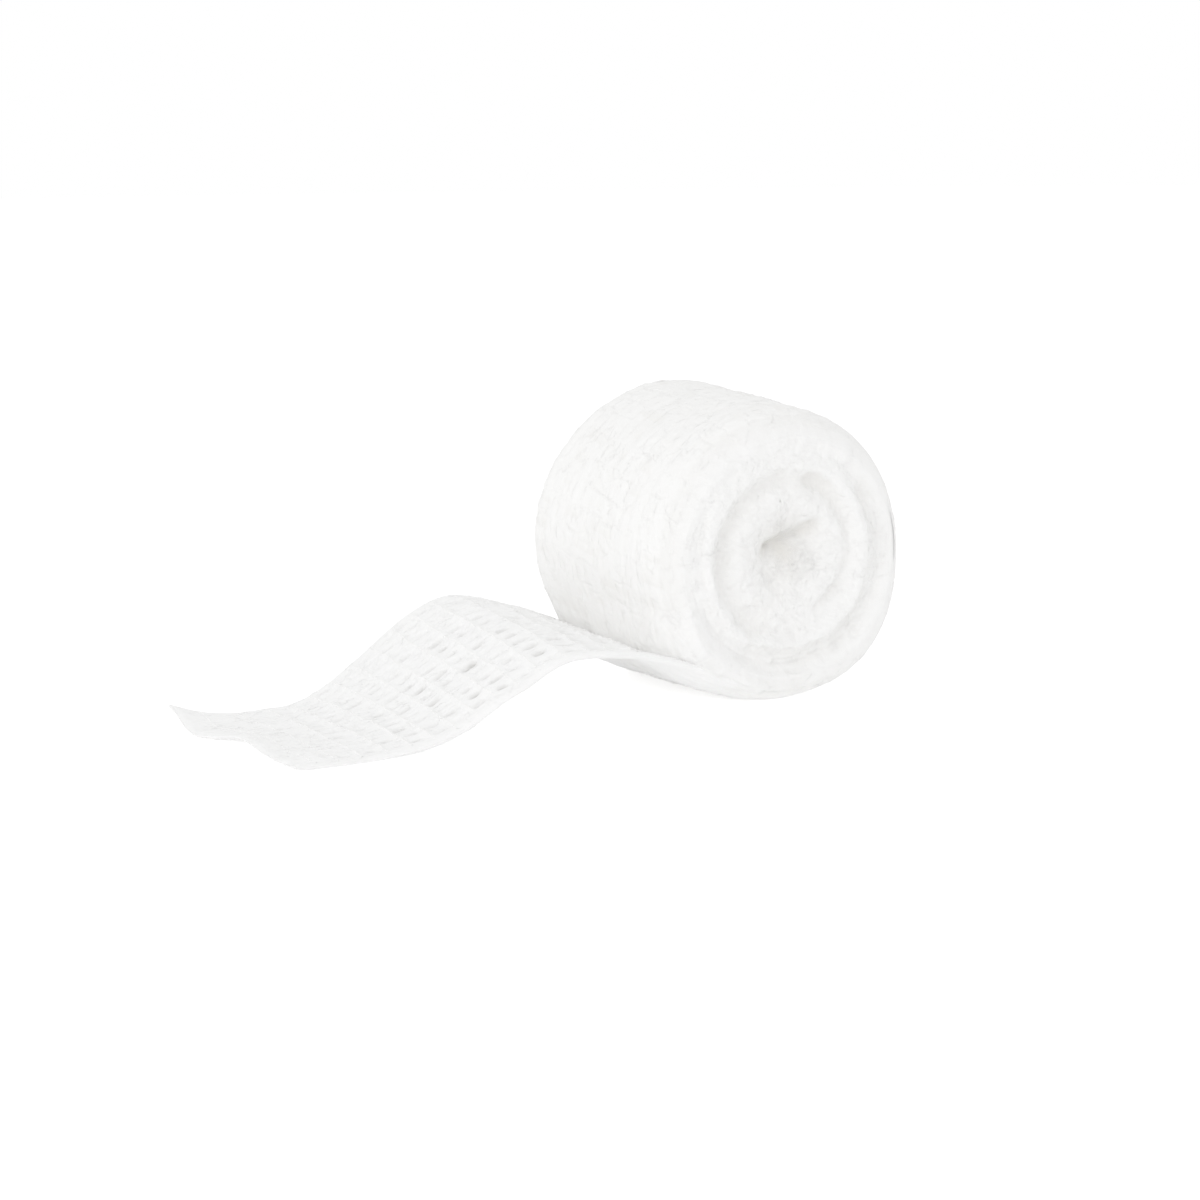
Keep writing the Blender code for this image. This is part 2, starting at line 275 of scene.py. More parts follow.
# ---------------------------------------------------------------------------------------------------------
# Curves and noise
# ---------------------------------------------------------------------------------------------------------
def mix(a, b, t):
    return a + (b - a) * t


def ease(t):
    t = np.clip(t, 0.0, 1.0)
    return t * t * (3.0 - 2.0 * t)


def bump(distance, width):
    """A soft hill that is 1 in its middle."""
    return np.exp(-((distance / width) ** 2))


def curve_through(p0, p1, p2, p3, t):
    """A smooth curve from p1 to p2 that keeps the run of its neighbours."""
    a = 2.0 * p1
    b = p2 - p0
    c = 2.0 * p0 - 5.0 * p1 + 4.0 * p2 - p3
    d = 3.0 * p1 - p0 - 3.0 * p2 + p3
    return 0.5 * (a + b * t + c * t * t + d * t * t * t)


def around(values, angle):
    """Values at angles, from values at equal steps round the circle."""
    values = np.asarray(values, float)
    place = np.mod(angle, TAU) / TAU * len(values)
    first = np.floor(place).astype(int)
    picks = [values[(first + k) % len(values)] for k in (-1, 0, 1, 2)]
    return curve_through(*picks, place - first)


def along(values, place):
    """Values at places along a list, where whole numbers are its entries."""
    values = np.asarray(values, float)
    place = np.asarray(place, float)
    last = len(values) - 1
    first = np.clip(np.floor(place).astype(int), 0, last - 1)
    part = place - first
    if values.ndim > 1:
        part = part[..., None]
    picks = [values[np.clip(first + k, 0, last)] for k in (-1, 0, 1, 2)]
    return curve_through(*picks, part)


HASH_PRIMES = (0x9E3779B1, 0x85EBCA6B, 0xC2B2AE35)


def scattered(whole, seed):
    """A fixed value from -1 to 1 for each whole-number place."""
    value = np.full(whole.shape[:-1], (seed * 0x27D4EB2F + 0x165667B1) & 0xFFFFFFFF, np.uint32)
    for axis, prime in zip(range(whole.shape[-1]), HASH_PRIMES):
        value ^= (whole[..., axis].astype(np.int64) & 0xFFFFFFFF).astype(np.uint32) * np.uint32(prime)
        value ^= value >> np.uint32(15)
        value *= np.uint32(0x2C1B3C6D)
        value ^= value >> np.uint32(12)
    return value / 2147483648.0 - 1.0


def soft_noise(cells, seed):
    """Smooth noise from -1 to 1 at places counted in lattice cells."""
    whole = np.floor(cells).astype(np.int64)
    part = cells - whole
    part = part ** 3 * (part * (part * 6.0 - 15.0) + 10.0)
    total = np.zeros(cells.shape[:-1])
    for corner in product((0, 1), repeat=cells.shape[-1]):
        weight = np.prod(np.where(np.array(corner) == 1, part, 1.0 - part), axis=-1)
        total += weight * scattered(whole + np.array(corner), seed)
    return total


def heaped(places, layers, seed):
    """Layers of noise over one another, each with its height and the size of its lumps."""
    return sum(height * soft_noise(places / size, seed + k) for k, (height, size) in enumerate(layers))


def cloth_noise(across, run, wide, long, seed):
    """Noise whose cells are wide across the strip and long along it."""
    return soft_noise(np.stack(np.broadcast_arrays(across / wide, run / long), axis=-1), seed)


def layered(across, run, layers, seed):
    """Layers of cloth noise over one another, each with its height and the width and length of its cells."""
    return sum(
        height * cloth_noise(across, run, wide, long, seed + k)
        for k, (height, wide, long) in enumerate(layers)
    )


def normals_of(rows, wrap=None):
    """Unit normals of a grid of points, rows x columns, on the side of (row step) x (column step)."""
    down = np.gradient(rows, axis=0)
    over = np.gradient(rows, axis=1)
    if wrap is not None:
        closed = (rows[:, 1] - rows[:, -2]) / 2.0
        over[wrap, 0] = closed[wrap]
        over[wrap, -1] = closed[wrap]
    normal = np.cross(down, over)
    return normal / np.maximum(np.linalg.norm(normal, axis=-1, keepdims=True), TINY)


# ---------------------------------------------------------------------------------------------------------
# The gauze itself
# ---------------------------------------------------------------------------------------------------------
WEFT_JUMP = 0.16                # the share of a bundle over which a weft line passes from place to place
WANDER = ((0.45, 7.0, 9.0), (0.16, 2.0, 3.5))                   # how the bundles stray from straight lines
NAP = ((0.9, 0.9, 3.2), (0.55, 0.45, 1.4), (0.8, 2.6, 2.8))     # the brushed surface, for a nap of 1 mm
SLOT_FADING = 0.45              # how much the strength of the gaps varies
SLOT_VARIATION = 0.25           # how much their length and width vary
SLOT_SHIFT = 0.5                # how far they lie off their places


def weft_line(across, number, weave, seed, step):
    """How far a weft line lies off its even place: it jumps a little from bundle to bundle."""
    place = across / weave.bundle
    first = np.floor(place)
    part = ease((place - first - 0.5) / WEFT_JUMP + 0.5)
    here = scattered(np.stack(np.broadcast_arrays(first, number), axis=-1), seed)
    after = scattered(np.stack(np.broadcast_arrays(first + 1, number), axis=-1), seed)
    return step * mix(here, after, part)


def gauze(across, run, weave, nap, seed, step):
    """The weave at a place: its relief, how strongly a gap between bundles opens, and the way off a weft line."""
    place = (across + layered(across, run, WANDER, seed)) / weave.bundle
    gap_number = np.floor(place + 0.5)
    off_gap = (place - gap_number) * weave.bundle
    weft_number = np.floor(run / weave.weft + 0.5)
    off_weft = run - weft_number * weave.weft - weft_line(across, weft_number, weave, seed + 2, step)
    cell = np.floor(run / weave.weft)
    address = np.stack(np.broadcast_arrays(gap_number, cell), axis=-1)
    strength = 1.0 - SLOT_FADING + SLOT_FADING * scattered(address, seed + 3)
    long = weave.slot_length * (1.0 + SLOT_VARIATION * scattered(address, seed + 4))
    wide = weave.slot_width * (1.0 + SLOT_VARIATION * scattered(address, seed + 5))
    off_cell = run - (cell + 0.5) * weave.weft - SLOT_SHIFT * scattered(address, seed + 6)
    slot = bump(off_gap, wide) * np.exp(-((off_cell / long) ** 4)) * strength
    strand = (np.cos(TAU * place) + np.cos(2.0 * TAU * place)) / 2.0
    uneven = 0.75 + 0.5 * cloth_noise(across, run, 3.0, 6.0, seed + 7)
    return nap * layered(across, run, NAP, seed + 8) - weave.strand * strand * uneven, slot, off_weft


# ---------------------------------------------------------------------------------------------------------
# The wound roll
# ---------------------------------------------------------------------------------------------------------
def wall_radius(angle, y, strip):
    """Radius of the wall under its outer layer, between the two ends' own out-of-round shapes."""
    near_y = -strip.width / 2 + strip.near_shoulder
    far_y = strip.width / 2 - strip.far_shoulder
    part = np.clip((y - near_y) / (far_y - near_y), 0.0, 1.0)
    return mix(around(NEAR_RADII, angle), around(FAR_RADII, angle), part)


def ring_radius(ring, angle):
    if ring.half_width == 0.0:
        return np.zeros_like(angle)
    return 1.0 / np.hypot(np.cos(angle) / ring.half_width, np.sin(angle) / ring.half_height)


def cling_rise(turned, cling):
    """How far the turn below stands out just before the strip leaves it."""
    before = (1.0 - turned) * 360.0 / CLING_STEP
    return np.interp(before, np.arange(len(cling)), cling)


def end_profile(rings, shoulder, row_step, side, angle, rise, strip):
    """Rows of (radius, depth, share of the axis in its centre) from the pit to the start of the wall."""
    wall = wall_radius(angle, side * (strip.width / 2 - shoulder), strip)
    rows = []
    for inner, outer in zip(rings, rings[1:]):
        radii = ring_radius(inner, angle), ring_radius(outer, angle)
        depths = around(inner[3:], angle), around(outer[3:], angle)
        steps = max(int(round((outer.half_width - inner.half_width) / row_step)), 2)
        for k in range(1, steps + 1):
            part = k / steps
            radius = mix(*radii, part)
            bend = np.maximum(radius - (wall - shoulder), 0.0) / shoulder
            depth = mix(*depths, ease(part)) + shoulder * (1.0 - np.sqrt(1.0 - bend * bend))
            outermost = ease(part) if outer is rings[-1] else 0.0
            grown = radius + rise * bend * outermost
            rows.append((grown, depth - rise * np.sqrt(1.0 - bend * bend) * outermost, radius / wall))
    steps = int(math.radians(90.0 - ARC_START) * shoulder / row_step)
    arcs = [ARC_START + (90.0 - ARC_START) * k / steps for k in range(steps + 1)]
    outer_depth = around(rings[-1][3:], angle)
    for degrees in arcs:
        arc = math.radians(degrees)
        radius = wall - shoulder + (shoulder + rise) * math.sin(arc)
        depth = shoulder - (shoulder + rise) * math.cos(arc) + outer_depth * math.cos(arc) ** 2
        rows.append((radius, depth, np.ones_like(angle)))
    face_rows = len(rows) - sum(degrees > FACE_ARC_END for degrees in arcs)
    return rows, face_rows


def roll_base(strip):
    """The roll's smooth form as rows x columns of points, and the rows where each end face meets the wall."""
    turned = np.arange(ROLL_COLUMNS + 1) / ROLL_COLUMNS
    angle = strip.peel_angle + TAU * turned
    rise = (strip.thickness + strip.gap) * (1.0 - turned)
    rows = []

    def add(radius, y, axis_share):
        x = CORE_OFFSET[0] * (1.0 - axis_share) + radius * np.cos(angle)
        z = CORE_OFFSET[1] * (1.0 - axis_share) + radius * np.sin(angle) + strip.axis_height
        rows.append(np.stack((x, y, z), axis=-1))

    half = strip.width / 2
    near_rise = np.maximum(rise, cling_rise(turned, NEAR_CLING))
    far_rise = np.maximum(rise, cling_rise(turned, FAR_CLING))
    near, near_face = end_profile(
        NEAR_RINGS, strip.near_shoulder, NEAR_ROW_STEP, -1, angle, near_rise, strip)
    far, far_face = end_profile(FAR_RINGS, strip.far_shoulder, FAR_ROW_STEP, 1, angle, far_rise, strip)
    for radius, depth, axis_share in near:
        add(radius, -half + depth, axis_share)
    flat = strip.width - strip.near_shoulder - strip.far_shoulder
    steps = int(flat / WALL_ROW_STEP)
    for k in range(1, steps):
        y = np.full_like(angle, mix(-half + strip.near_shoulder, half - strip.far_shoulder, k / steps))
        add(wall_radius(angle, y, strip) + mix(near_rise, far_rise, k / steps), y, np.ones_like(angle))
    for radius, depth, axis_share in reversed(far):
        add(radius, half - depth, axis_share)
    return np.array(rows), near_face - 1, len(rows) - far_face


def spiral_lines(x, z, pitch, seed):
    """Edges of the wound turns on an end face: 1 on a line between two turns, 0 in the middle of a turn."""
    radius = np.hypot(x, z)
    turn = np.arctan2(z, x) / TAU
    waver = 0.5 * soft_noise(np.stack((x / 6.0, z / 6.0), axis=-1), seed)
    place = (radius + waver) / pitch + turn
    return np.abs(np.cos(math.pi * place)) ** 6


def path_distance(x, z, path):
    """Distance from a face's places to a bent line, and the share of the way along it."""
    best = np.full(x.shape, 1e9)
    place = np.zeros(x.shape)
    pieces = list(zip(path, path[1:]))
    for number, ((ax, az), (bx, bz)) in enumerate(pieces):
        run = np.clip(((x - ax) * (bx - ax) + (z - az) * (bz - az)) / ((bx - ax) ** 2 + (bz - az) ** 2), 0, 1)
        away = np.hypot(x - mix(ax, bx, run), z - mix(az, bz, run))
        closer = away < best
        best = np.where(closer, away, best)
        place = np.where(closer, (number + run) / len(pieces), place)
    return best, place


# Hollows and ridges of the near face, as places right of and above the axis, with their height and reach
Fold = namedtuple("Fold", "height wide fade path")
NEAR_FOLDS = (
    Fold(-2.5, 1.35, 0.8, ((-3.9, 0.8), (-2.8, 2.2), (0.4, 3.1), (3.0, 3.9), (5.6, 5.2))),
    Fold(-1.0, 1.5, 0.3, ((-3.4, 1.6), (-3.9, -1.2), (-3.4, -4.6), (-2.2, -6.8))),
    Fold(1.0, 2.8, 0.6, ((-2.6, 6.4), (2.0, 7.4))),
    Fold(-0.5, 1.7, 0.7, (
        (-1.0, 16.4), (-11.2, 13.0), (-15.6, 5.1), (-16.4, -2.8), (-12.8, -10.8), (-6.0, -14.2))),
    Fold(-1.1, 1.3, 0.7, ((5.0, 14.8), (9.9, 11.8), (13.9, 3.0), (12.2, -5.4), (6.5, -10.4))),
    Fold(-0.8, 1.6, 0.7, ((16.8, 11.5), (19.4, 2.1), (15.8, -11.6), (4.3, -18.4), (-9.2, -17.0))),
    Fold(0.5, 1.5, 0.8, ((11.0, 14.6), (16.4, 2.6), (12.0, -9.2), (-3.9, -15.6))),
    Fold(-0.45, 0.8, 0.8, ((-19.2, 9.0), (-20.4, 0.0), (-18.0, -9.0))),
)
PIT_FILL = (2.4, 3.8)           # height and reach of the stuffing in the pit, beside its folds
PIT_LUMP = (2.4, -2.2)          # where a lump of cotton stands in it
LUMP_SIZE = (1.7, 3.4)          # its height and reach
NEAR_TURN, FAR_TURN = 0.95, 1.0             # distance between the edges of two turns
NEAR_TUFTS = ((1.0, 2.3), (0.75, 1.25), (0.45, 0.62), (0.7, 4.6))
FAR_TUFTS = ((1.0, 2.4), (0.8, 1.3), (0.4, 0.8))
TUFT_SHARE, CURL_SHARE = 0.8, 0.22          # of the tuft height, for heaped tufts and for curled fibres
FAR_FOLD = ((-1.5, 3.0), (1.5, 2.6), (3.5, 0.5))
FAR_FOLD_SIZE = (-1.6, 1.4)


def smooth_path(path, steps=6):
    """More points along a bent line, on a smooth curve through its own."""
    return along(path, np.linspace(0.0, len(path) - 1.0, (len(path) - 1) * steps + 1)).tolist()


def near_face_relief(x, z, y, fluff):
    """Relief of the near face over its soft rings: the comma-shaped pit, folds, tufts and edges of turns."""
    flat = np.stack((x, z, y), axis=-1)
    radius = np.hypot(x, z)
    lump_away = np.hypot(x - PIT_LUMP[0], z - PIT_LUMP[1])
    relief = PIT_FILL[0] * bump(radius, PIT_FILL[1]) + LUMP_SIZE[0] * bump(lump_away, LUMP_SIZE[1])
    for fold in NEAR_FOLDS:
        away, place = path_distance(x, z, smooth_path(fold.path))
        ends = mix(1.0, fold.fade, place) * (0.85 + 0.3 * soft_noise(flat / 3.5, 30))
        relief = relief + fold.height * bump(away, fold.wide) * ends
    edge = ease((radius - 17.0) / 6.0)
    lower_right = 0.5 + 0.5 * np.cos(np.arctan2(z, x) - math.radians(-60.0))
    turns = spiral_lines(x, z, NEAR_TURN, 21)
    relief = relief - turns * (0.04 + edge * (0.07 + 0.20 * lower_right))
    curl = soft_noise(flat / 1.7 + soft_noise(flat / 2.6, 35)[..., None] * 1.4, 36)
    calm = mix(1.0, 0.6, ease((radius - 20.0) / 5.0)) * mix(0.45, 1.0, ease((radius - 3.0) / 4.0))
    tufts = TUFT_SHARE * heaped(flat, NEAR_TUFTS, 31) + CURL_SHARE * (1.0 - np.abs(curl) * 2.0)
    return relief + fluff.tuft * calm * tufts


def far_face_relief(x, z, fluff):
    """Relief of the far face: a fold in its middle, tufts and the edges of the turns."""
    flat = np.stack((x, z), axis=-1)
    edge = ease((np.hypot(x, z) - 15.0) / 8.0)
    fold = FAR_FOLD_SIZE[0] * bump(path_distance(x, z, FAR_FOLD)[0], FAR_FOLD_SIZE[1])
    turns = spiral_lines(-x, z, FAR_TURN, 44) * (0.08 + 0.25 * edge)
    return fold - turns + fluff.tuft * TUFT_SHARE * heaped(flat, FAR_TUFTS, 41)


# The wall: the weave shows most on its upper left side, and fades out over a smooth band at the near edge
WALL_LEAN, STROKE_LEAN = 0.18, 0.22         # how far the weft lines and the strokes lean round the roll
CLEAREST = math.radians(125.0)              # the direction in which the weave shows most
SMOOTH_BAND = 12.0
STROKE_RELIEF = 0.22
WEFT_LINE_WIDTH = 0.22
WALL_SWELL = ((0.14, 11.0), (0.07, 5.0))
WALL_WEAVE = (0.5, 0.75)        # shares of the weave's relief, at the near edge and past the smooth band
WALL_SLOTS = (0.06, 0.2)        # depths of the gaps, where the weave shows least and most
WALL_WEFT = (0.04, 0.27)        # depths of the weft lines, likewise
SLOT_SHADE, WALL_TINT, PATCH_TINT = 0.05, 0.07, 0.15         # painted shade in the gaps, and a warm tone over the wall and in patches on it


def wall_relief(base, across, run, angle, weave, fluff):
    """Relief of the outer turn, with painted shade in its gaps and a warm mottle: strands round the roll, faint
    gaps, stepped weft lines.
    """
    relief, slot, off_weft = gauze(across, run + across * WALL_LEAN, weave, fluff.nap, 51, WALL_WEFT_STEP)
    clear = ease(0.62 + 0.75 * np.cos(angle - CLEAREST))
    near_edge = ease((across - across.min()) / SMOOTH_BAND)
    strokes = cloth_noise(across + run * STROKE_LEAN, run, 0.9, 3.4, 52) * cloth_noise(across, run, 5.0, 8.0, 53)
    weft = bump(off_weft, WEFT_LINE_WIDTH) * (0.4 + 0.6 * cloth_noise(across, run, 4.0, 9.0, 54))
    relief = relief * mix(*WALL_WEAVE, near_edge) - slot * mix(*WALL_SLOTS, clear) * near_edge
    relief = relief + strokes * STROKE_RELIEF * clear - weft * mix(*WALL_WEFT, clear) * near_edge
    # Painted shade in the gaps, and a warm tone, stronger in patches between the weft lines, where the weave
    # shows most and away from the near edge
    patches = ease(cloth_noise(across, run, 4.5, 6.0, 57) * 2.2 - 0.4) * bump(off_weft - 2.5, 2.2)
    gap_shade_and_mottle = (slot * SLOT_SHADE + WALL_TINT + PATCH_TINT * patches) * clear * near_edge
    return relief + heaped(base, WALL_SWELL, 55), gap_shade_and_mottle


DEEPEST = 7.0                   # depth below the strip's edges where a face gets the most painted shade
DEEP_SHADE, DENT_SHADE = 0.8, 0.3             # painted shade, warm and darker, deep in a face and in its dents
DENT_DEPTH = 1.6
SMOOTH_RIGHT = 0.3              # the share of the relief that is left at the rim's right side


def roll_surface(strip, weave, fluff):
    """The roll's finished grid: points, normals, cloth places, a mask of painted shade and warm mottle, and the
    two rows that part its faces.
    """
    base, near_row, far_row = roll_base(strip)
    columns = base.shape[1]
    closed = np.linalg.norm(base[:, 0] - base[:, -1], axis=-1) < SAME_PLACE
    normal = normals_of(base, closed)
    steps = np.linalg.norm(np.diff(base[:, ::24], axis=0), axis=-1).mean(axis=1)
    across = np.concatenate(([0.0], np.cumsum(steps)))
    middle_row = (near_row + far_row) // 2
    across = np.broadcast_to((across - across[middle_row])[:, None], base.shape[:2])
    angle = np.broadcast_to(strip.peel_angle + TAU * np.arange(columns) / (columns - 1), base.shape[:2])
    run = angle * MEAN_RADIUS
    x = base[..., 0] - CORE_OFFSET[0] * 0.4
    z = base[..., 2] - strip.axis_height - CORE_OFFSET[1] * 0.4
    radius = np.hypot(x, z)
    row = np.arange(len(base))[:, None]
    on_wall = ease(0.5 + (row - near_row) / NEAR_BLEND_ROWS) * ease(0.5 + (far_row - row) / FAR_BLEND_ROWS)
    near = near_face_relief(x, z, base[..., 1], fluff)
    face = np.where(row < middle_row, near, far_face_relief(x, z, fluff))
    wall, gap_shade_and_mottle = wall_relief(base, across, run, angle, weave, fluff)
    smooth_right = ease((radius - 21.0) / 4.0) * ease(0.1 + 1.2 * np.cos(angle + math.radians(10.0)))
    relief = mix(face, wall, on_wall) * mix(1.0, SMOOTH_RIGHT, smooth_right)
    # Near the axis the rows lie close, so the relief goes straight along the axis there
    outward = np.stack((np.zeros_like(x), np.sign(base[..., 1]), np.zeros_like(x)), axis=-1)
    direction = mix(normal, outward, 1.0 - ease((radius - 5.0) / 6.0)[..., None])
    direction /= np.linalg.norm(direction, axis=-1, keepdims=True)
    points = base + direction * relief[..., None]
    points[closed, -1] = points[closed, 0]
    points[..., 2] = np.maximum(points[..., 2], 0.0)
    depth = strip.width / 2 - np.abs(base[..., 1])
    sunk = np.clip(depth / DEEPEST, 0.0, 1.0) * (1.0 - on_wall)
    dents = np.clip(-relief / DENT_DEPTH, 0.0, 1.0)
    # Painted shade: the cotton goes towards the darker warm tone deeper into an end face and in its dents, and on
    # the wall by the painted shade of its gaps and its mottle
    hollow = np.clip(dents * DENT_SHADE + sunk ** 2 * DEEP_SHADE + gap_shade_and_mottle * on_wall, 0.0, 1.0)
    cloth = np.stack((across, run, np.zeros_like(across)), axis=-1)
    return points, normals_of(points, closed), cloth, hollow, near_row, far_row


# ---------------------------------------------------------------------------------------------------------
# The loose end
# ---------------------------------------------------------------------------------------------------------
def lane_routes(lanes, strip):
    """Each lane's underside, section by section: (sections, lanes, x z curl)."""
    y = strip.width * (lanes - 0.5)
    radius = wall_radius(strip.peel_angle, y, strip) + strip.gap + strip.thickness
    angle = strip.peel_angle - strip.gap / radius
    start = np.stack((radius * np.cos(angle), radius * np.sin(angle) + strip.axis_height, np.ones_like(y)), -1)
    cut_x = along(CUT_X, lanes * 4)
    last_x = LOOSE_END[-1].x
    rows = [start]
    for section in LOOSE_END:
        slant = ease(1.0 - (section.x - last_x) / CUT_REACH)
        x = section.x + (cut_x - last_x) * slant
        rows.append(np.stack((x, along(section[2:], lanes * 4), np.full_like(y, section.curl)), axis=-1))
    return np.array(rows)


def edge_curl(across, curl, strip):
    """Place across the strip and lift of points whose flat place is across, with the edges curled over."""
    shoulder = np.where(across < 0.0, strip.near_shoulder, strip.far_shoulder)
    flat = strip.width / 2 - shoulder
    past = np.maximum(np.abs(across) - flat, 0.0)
    bend = (shoulder + strip.gap + strip.thickness) / np.maximum(curl, 0.01)
    turn = past / bend
    y = np.where(past > 0.0, np.copysign(flat + bend * np.sin(turn), across), across)
    return y, bend * (1.0 - np.cos(turn))


def clear_of_roll(points, strip):
    """Moves underside points outwards until the strip above them clears the turn it lies against."""
    x, y, z = points[..., 0], points[..., 1], points[..., 2] - strip.axis_height
    angle = np.arctan2(z, x)
    turned = np.mod(angle - strip.peel_angle, TAU) / TAU
    rise = np.where(turned > 0.5, (strip.thickness + strip.gap) * (1.0 - turned), 0.0)
    shoulder = np.where(y < 0.0, strip.near_shoulder, strip.far_shoulder)
    needed = shoulder + rise + strip.gap + strip.thickness
    out = np.hypot(x, z) - (wall_radius(angle, y, strip) - shoulder)
    past = np.maximum(np.abs(y) - (strip.width / 2 - shoulder), 0.0)
    reach = np.maximum(np.hypot(out, past), 1e-6)
    push = np.where((reach < needed) & (out > 0.0), needed / reach - 1.0, 0.0)
    shift = np.stack((np.cos(angle) * out, np.copysign(past, y), np.sin(angle) * out), axis=-1)
    return points + shift * push[..., None]


def underside(places, lanes, strip):
    """Points of the strip's underside at places along its sections, for every lane."""
    routes = lane_routes(lanes, strip)
    last = len(routes) - 1
    flat = routes.reshape(len(routes), -1)
    shape = (len(places), len(lanes), 3)
    here = along(flat, places).reshape(shape)
    ahead = along(flat, np.minimum(places + ROUTE_STEP, last)).reshape(shape)
    behind = along(flat, np.maximum(places - ROUTE_STEP, 0.0)).reshape(shape)
    run = ahead - behind
    width = strip.width * (1.0 - END_NARROWING * ease(places / last))
    y, lift = edge_curl((lanes - 0.5) * width[:, None], here[..., 2], strip)
    up = np.stack((run[..., 1], np.zeros_like(y), -run[..., 0]), axis=-1)
    up = up / np.linalg.norm(up, axis=-1, keepdims=True)
    points = np.stack((here[..., 0], y, here[..., 1]), axis=-1) + up * lift[..., None]
    return clear_of_roll(points, strip)


def even_places(strip):
    """Places along the sections that are evenly spaced on the strip's middle, and their distance run."""
    fine = np.linspace(0.0, len(LOOSE_END), 2400)
    middle = underside(fine, np.array([0.5]), strip)[:, 0]
    run = np.concatenate(([0.0], np.cumsum(np.linalg.norm(np.diff(middle, axis=0), axis=-1))))
    even = np.linspace(0.0, run[-1], int(run[-1] / LOOSE_ROW_STEP))
    return np.interp(even, run, fine), even


def tucked_rows(first, strip):
    """Rows that carry the strip's start on round the roll, a little under its surface, where it is hidden."""
    x, y, z = first[:, 0], first[:, 1], first[:, 2] - strip.axis_height
    rows = []
    for degrees in TUCK_ANGLES:
        turn = math.radians(degrees)
        sink = 1.0 - TUCK_DEPTH / MEAN_RADIUS * degrees / TUCK_ANGLES[0]
        turned_x = (x * math.cos(turn) - z * math.sin(turn)) * sink
        turned_z = (x * math.sin(turn) + z * math.cos(turn)) * sink
        rows.append(np.stack((turned_x, y, turned_z + strip.axis_height), axis=-1))
    return np.array(rows)


# Where the weave of the loose end has been pulled open most: place across (from the front edge) and run
# from the roll, with the reach of the patch each way and how much it adds to the gaps
Patch = namedtuple("Patch", "across run wide long pull")
OPEN_PATCHES = (
    Patch(-14.0, 22.0, 7.0, 9.0, 0.55),
    Patch(-15.0, 36.0, 7.0, 9.0, 0.55),
    Patch(-8.0, 48.0, 9.0, 8.0, 0.40),
    Patch(10.0, 58.0, 8.0, 8.0, 0.40),
)


# The loose end's cloth. Runs are from the roll, and places across are from the strip's middle
NAP_SHARE = 1.3                 # its nap against the wall's
SMOOTH_END = (78.0, 14.0)       # the run where the last, smooth stretch begins, and how it comes on
CLOSED_START = (12.0, 12.0)     # the same for the start, where the gaps are still closed
GAP_LIMIT = 1.3
PLAIN_GAP = 0.8                 # how far a gap opens outside the patches
WEFT_RIDGE = (0.26, 0.5)        # height and half width of the ridge over a weft thread
BEAD = (0.26, 1.3, 1.1)         # height, distance from the edge and half width of the rolled edge
BEAD_GROOVE = (0.18, 3.3, 0.7)  # the groove beside it
END_WAVES = (0.16, 2.4, 14.0)
SWELL = (0.3, 9.0, 11.0)
RAGGED = ((0.7, 0.5, 2.6), (0.4, 0.4, 0.9))
EDGE_WAVER = 0.35
EDGE_ROUND, END_ROUND = 1.5, 0.9            # how far in from its edges and its cut the strip is rounded
UNDER_NAP = (1.2, 2.6)
UNDER_SHARE = 0.6               # the underside's relief against the upper side's
UNDER_SLOT = 0.7                # how deep a gap is pressed into the underside, against the upper side
THINNEST = 0.16
FAINT_GAP_SHADE = (0.30, 0.08)        # painted shade of a slightly open gap, and where it sets in
DARK_GAP_SHADE = (0.55, 0.5)          # the same for a wide open one
GAP_SHADE_REACH = 0.4


def gap_depths(across, run, slot, body, smooth_end):
    """How far each gap between the bundles is open, from where the cloth was pulled."""
    pull = sum(
        patch.pull * bump((across - patch.across) / patch.wide, 1.0) * bump((run - patch.run) / patch.long, 1.0)
        for patch in OPEN_PATCHES
    )
    back_crest = 1.0 - 0.6 * bump(across - 22.0, 9.0) * bump(run - 30.0, 16.0)
    near_roll = ease((run - CLOSED_START[0]) / CLOSED_START[1])
    return np.clip(slot * (PLAIN_GAP + pull) * smooth_end * back_crest * near_roll * body, 0.0, GAP_LIMIT)


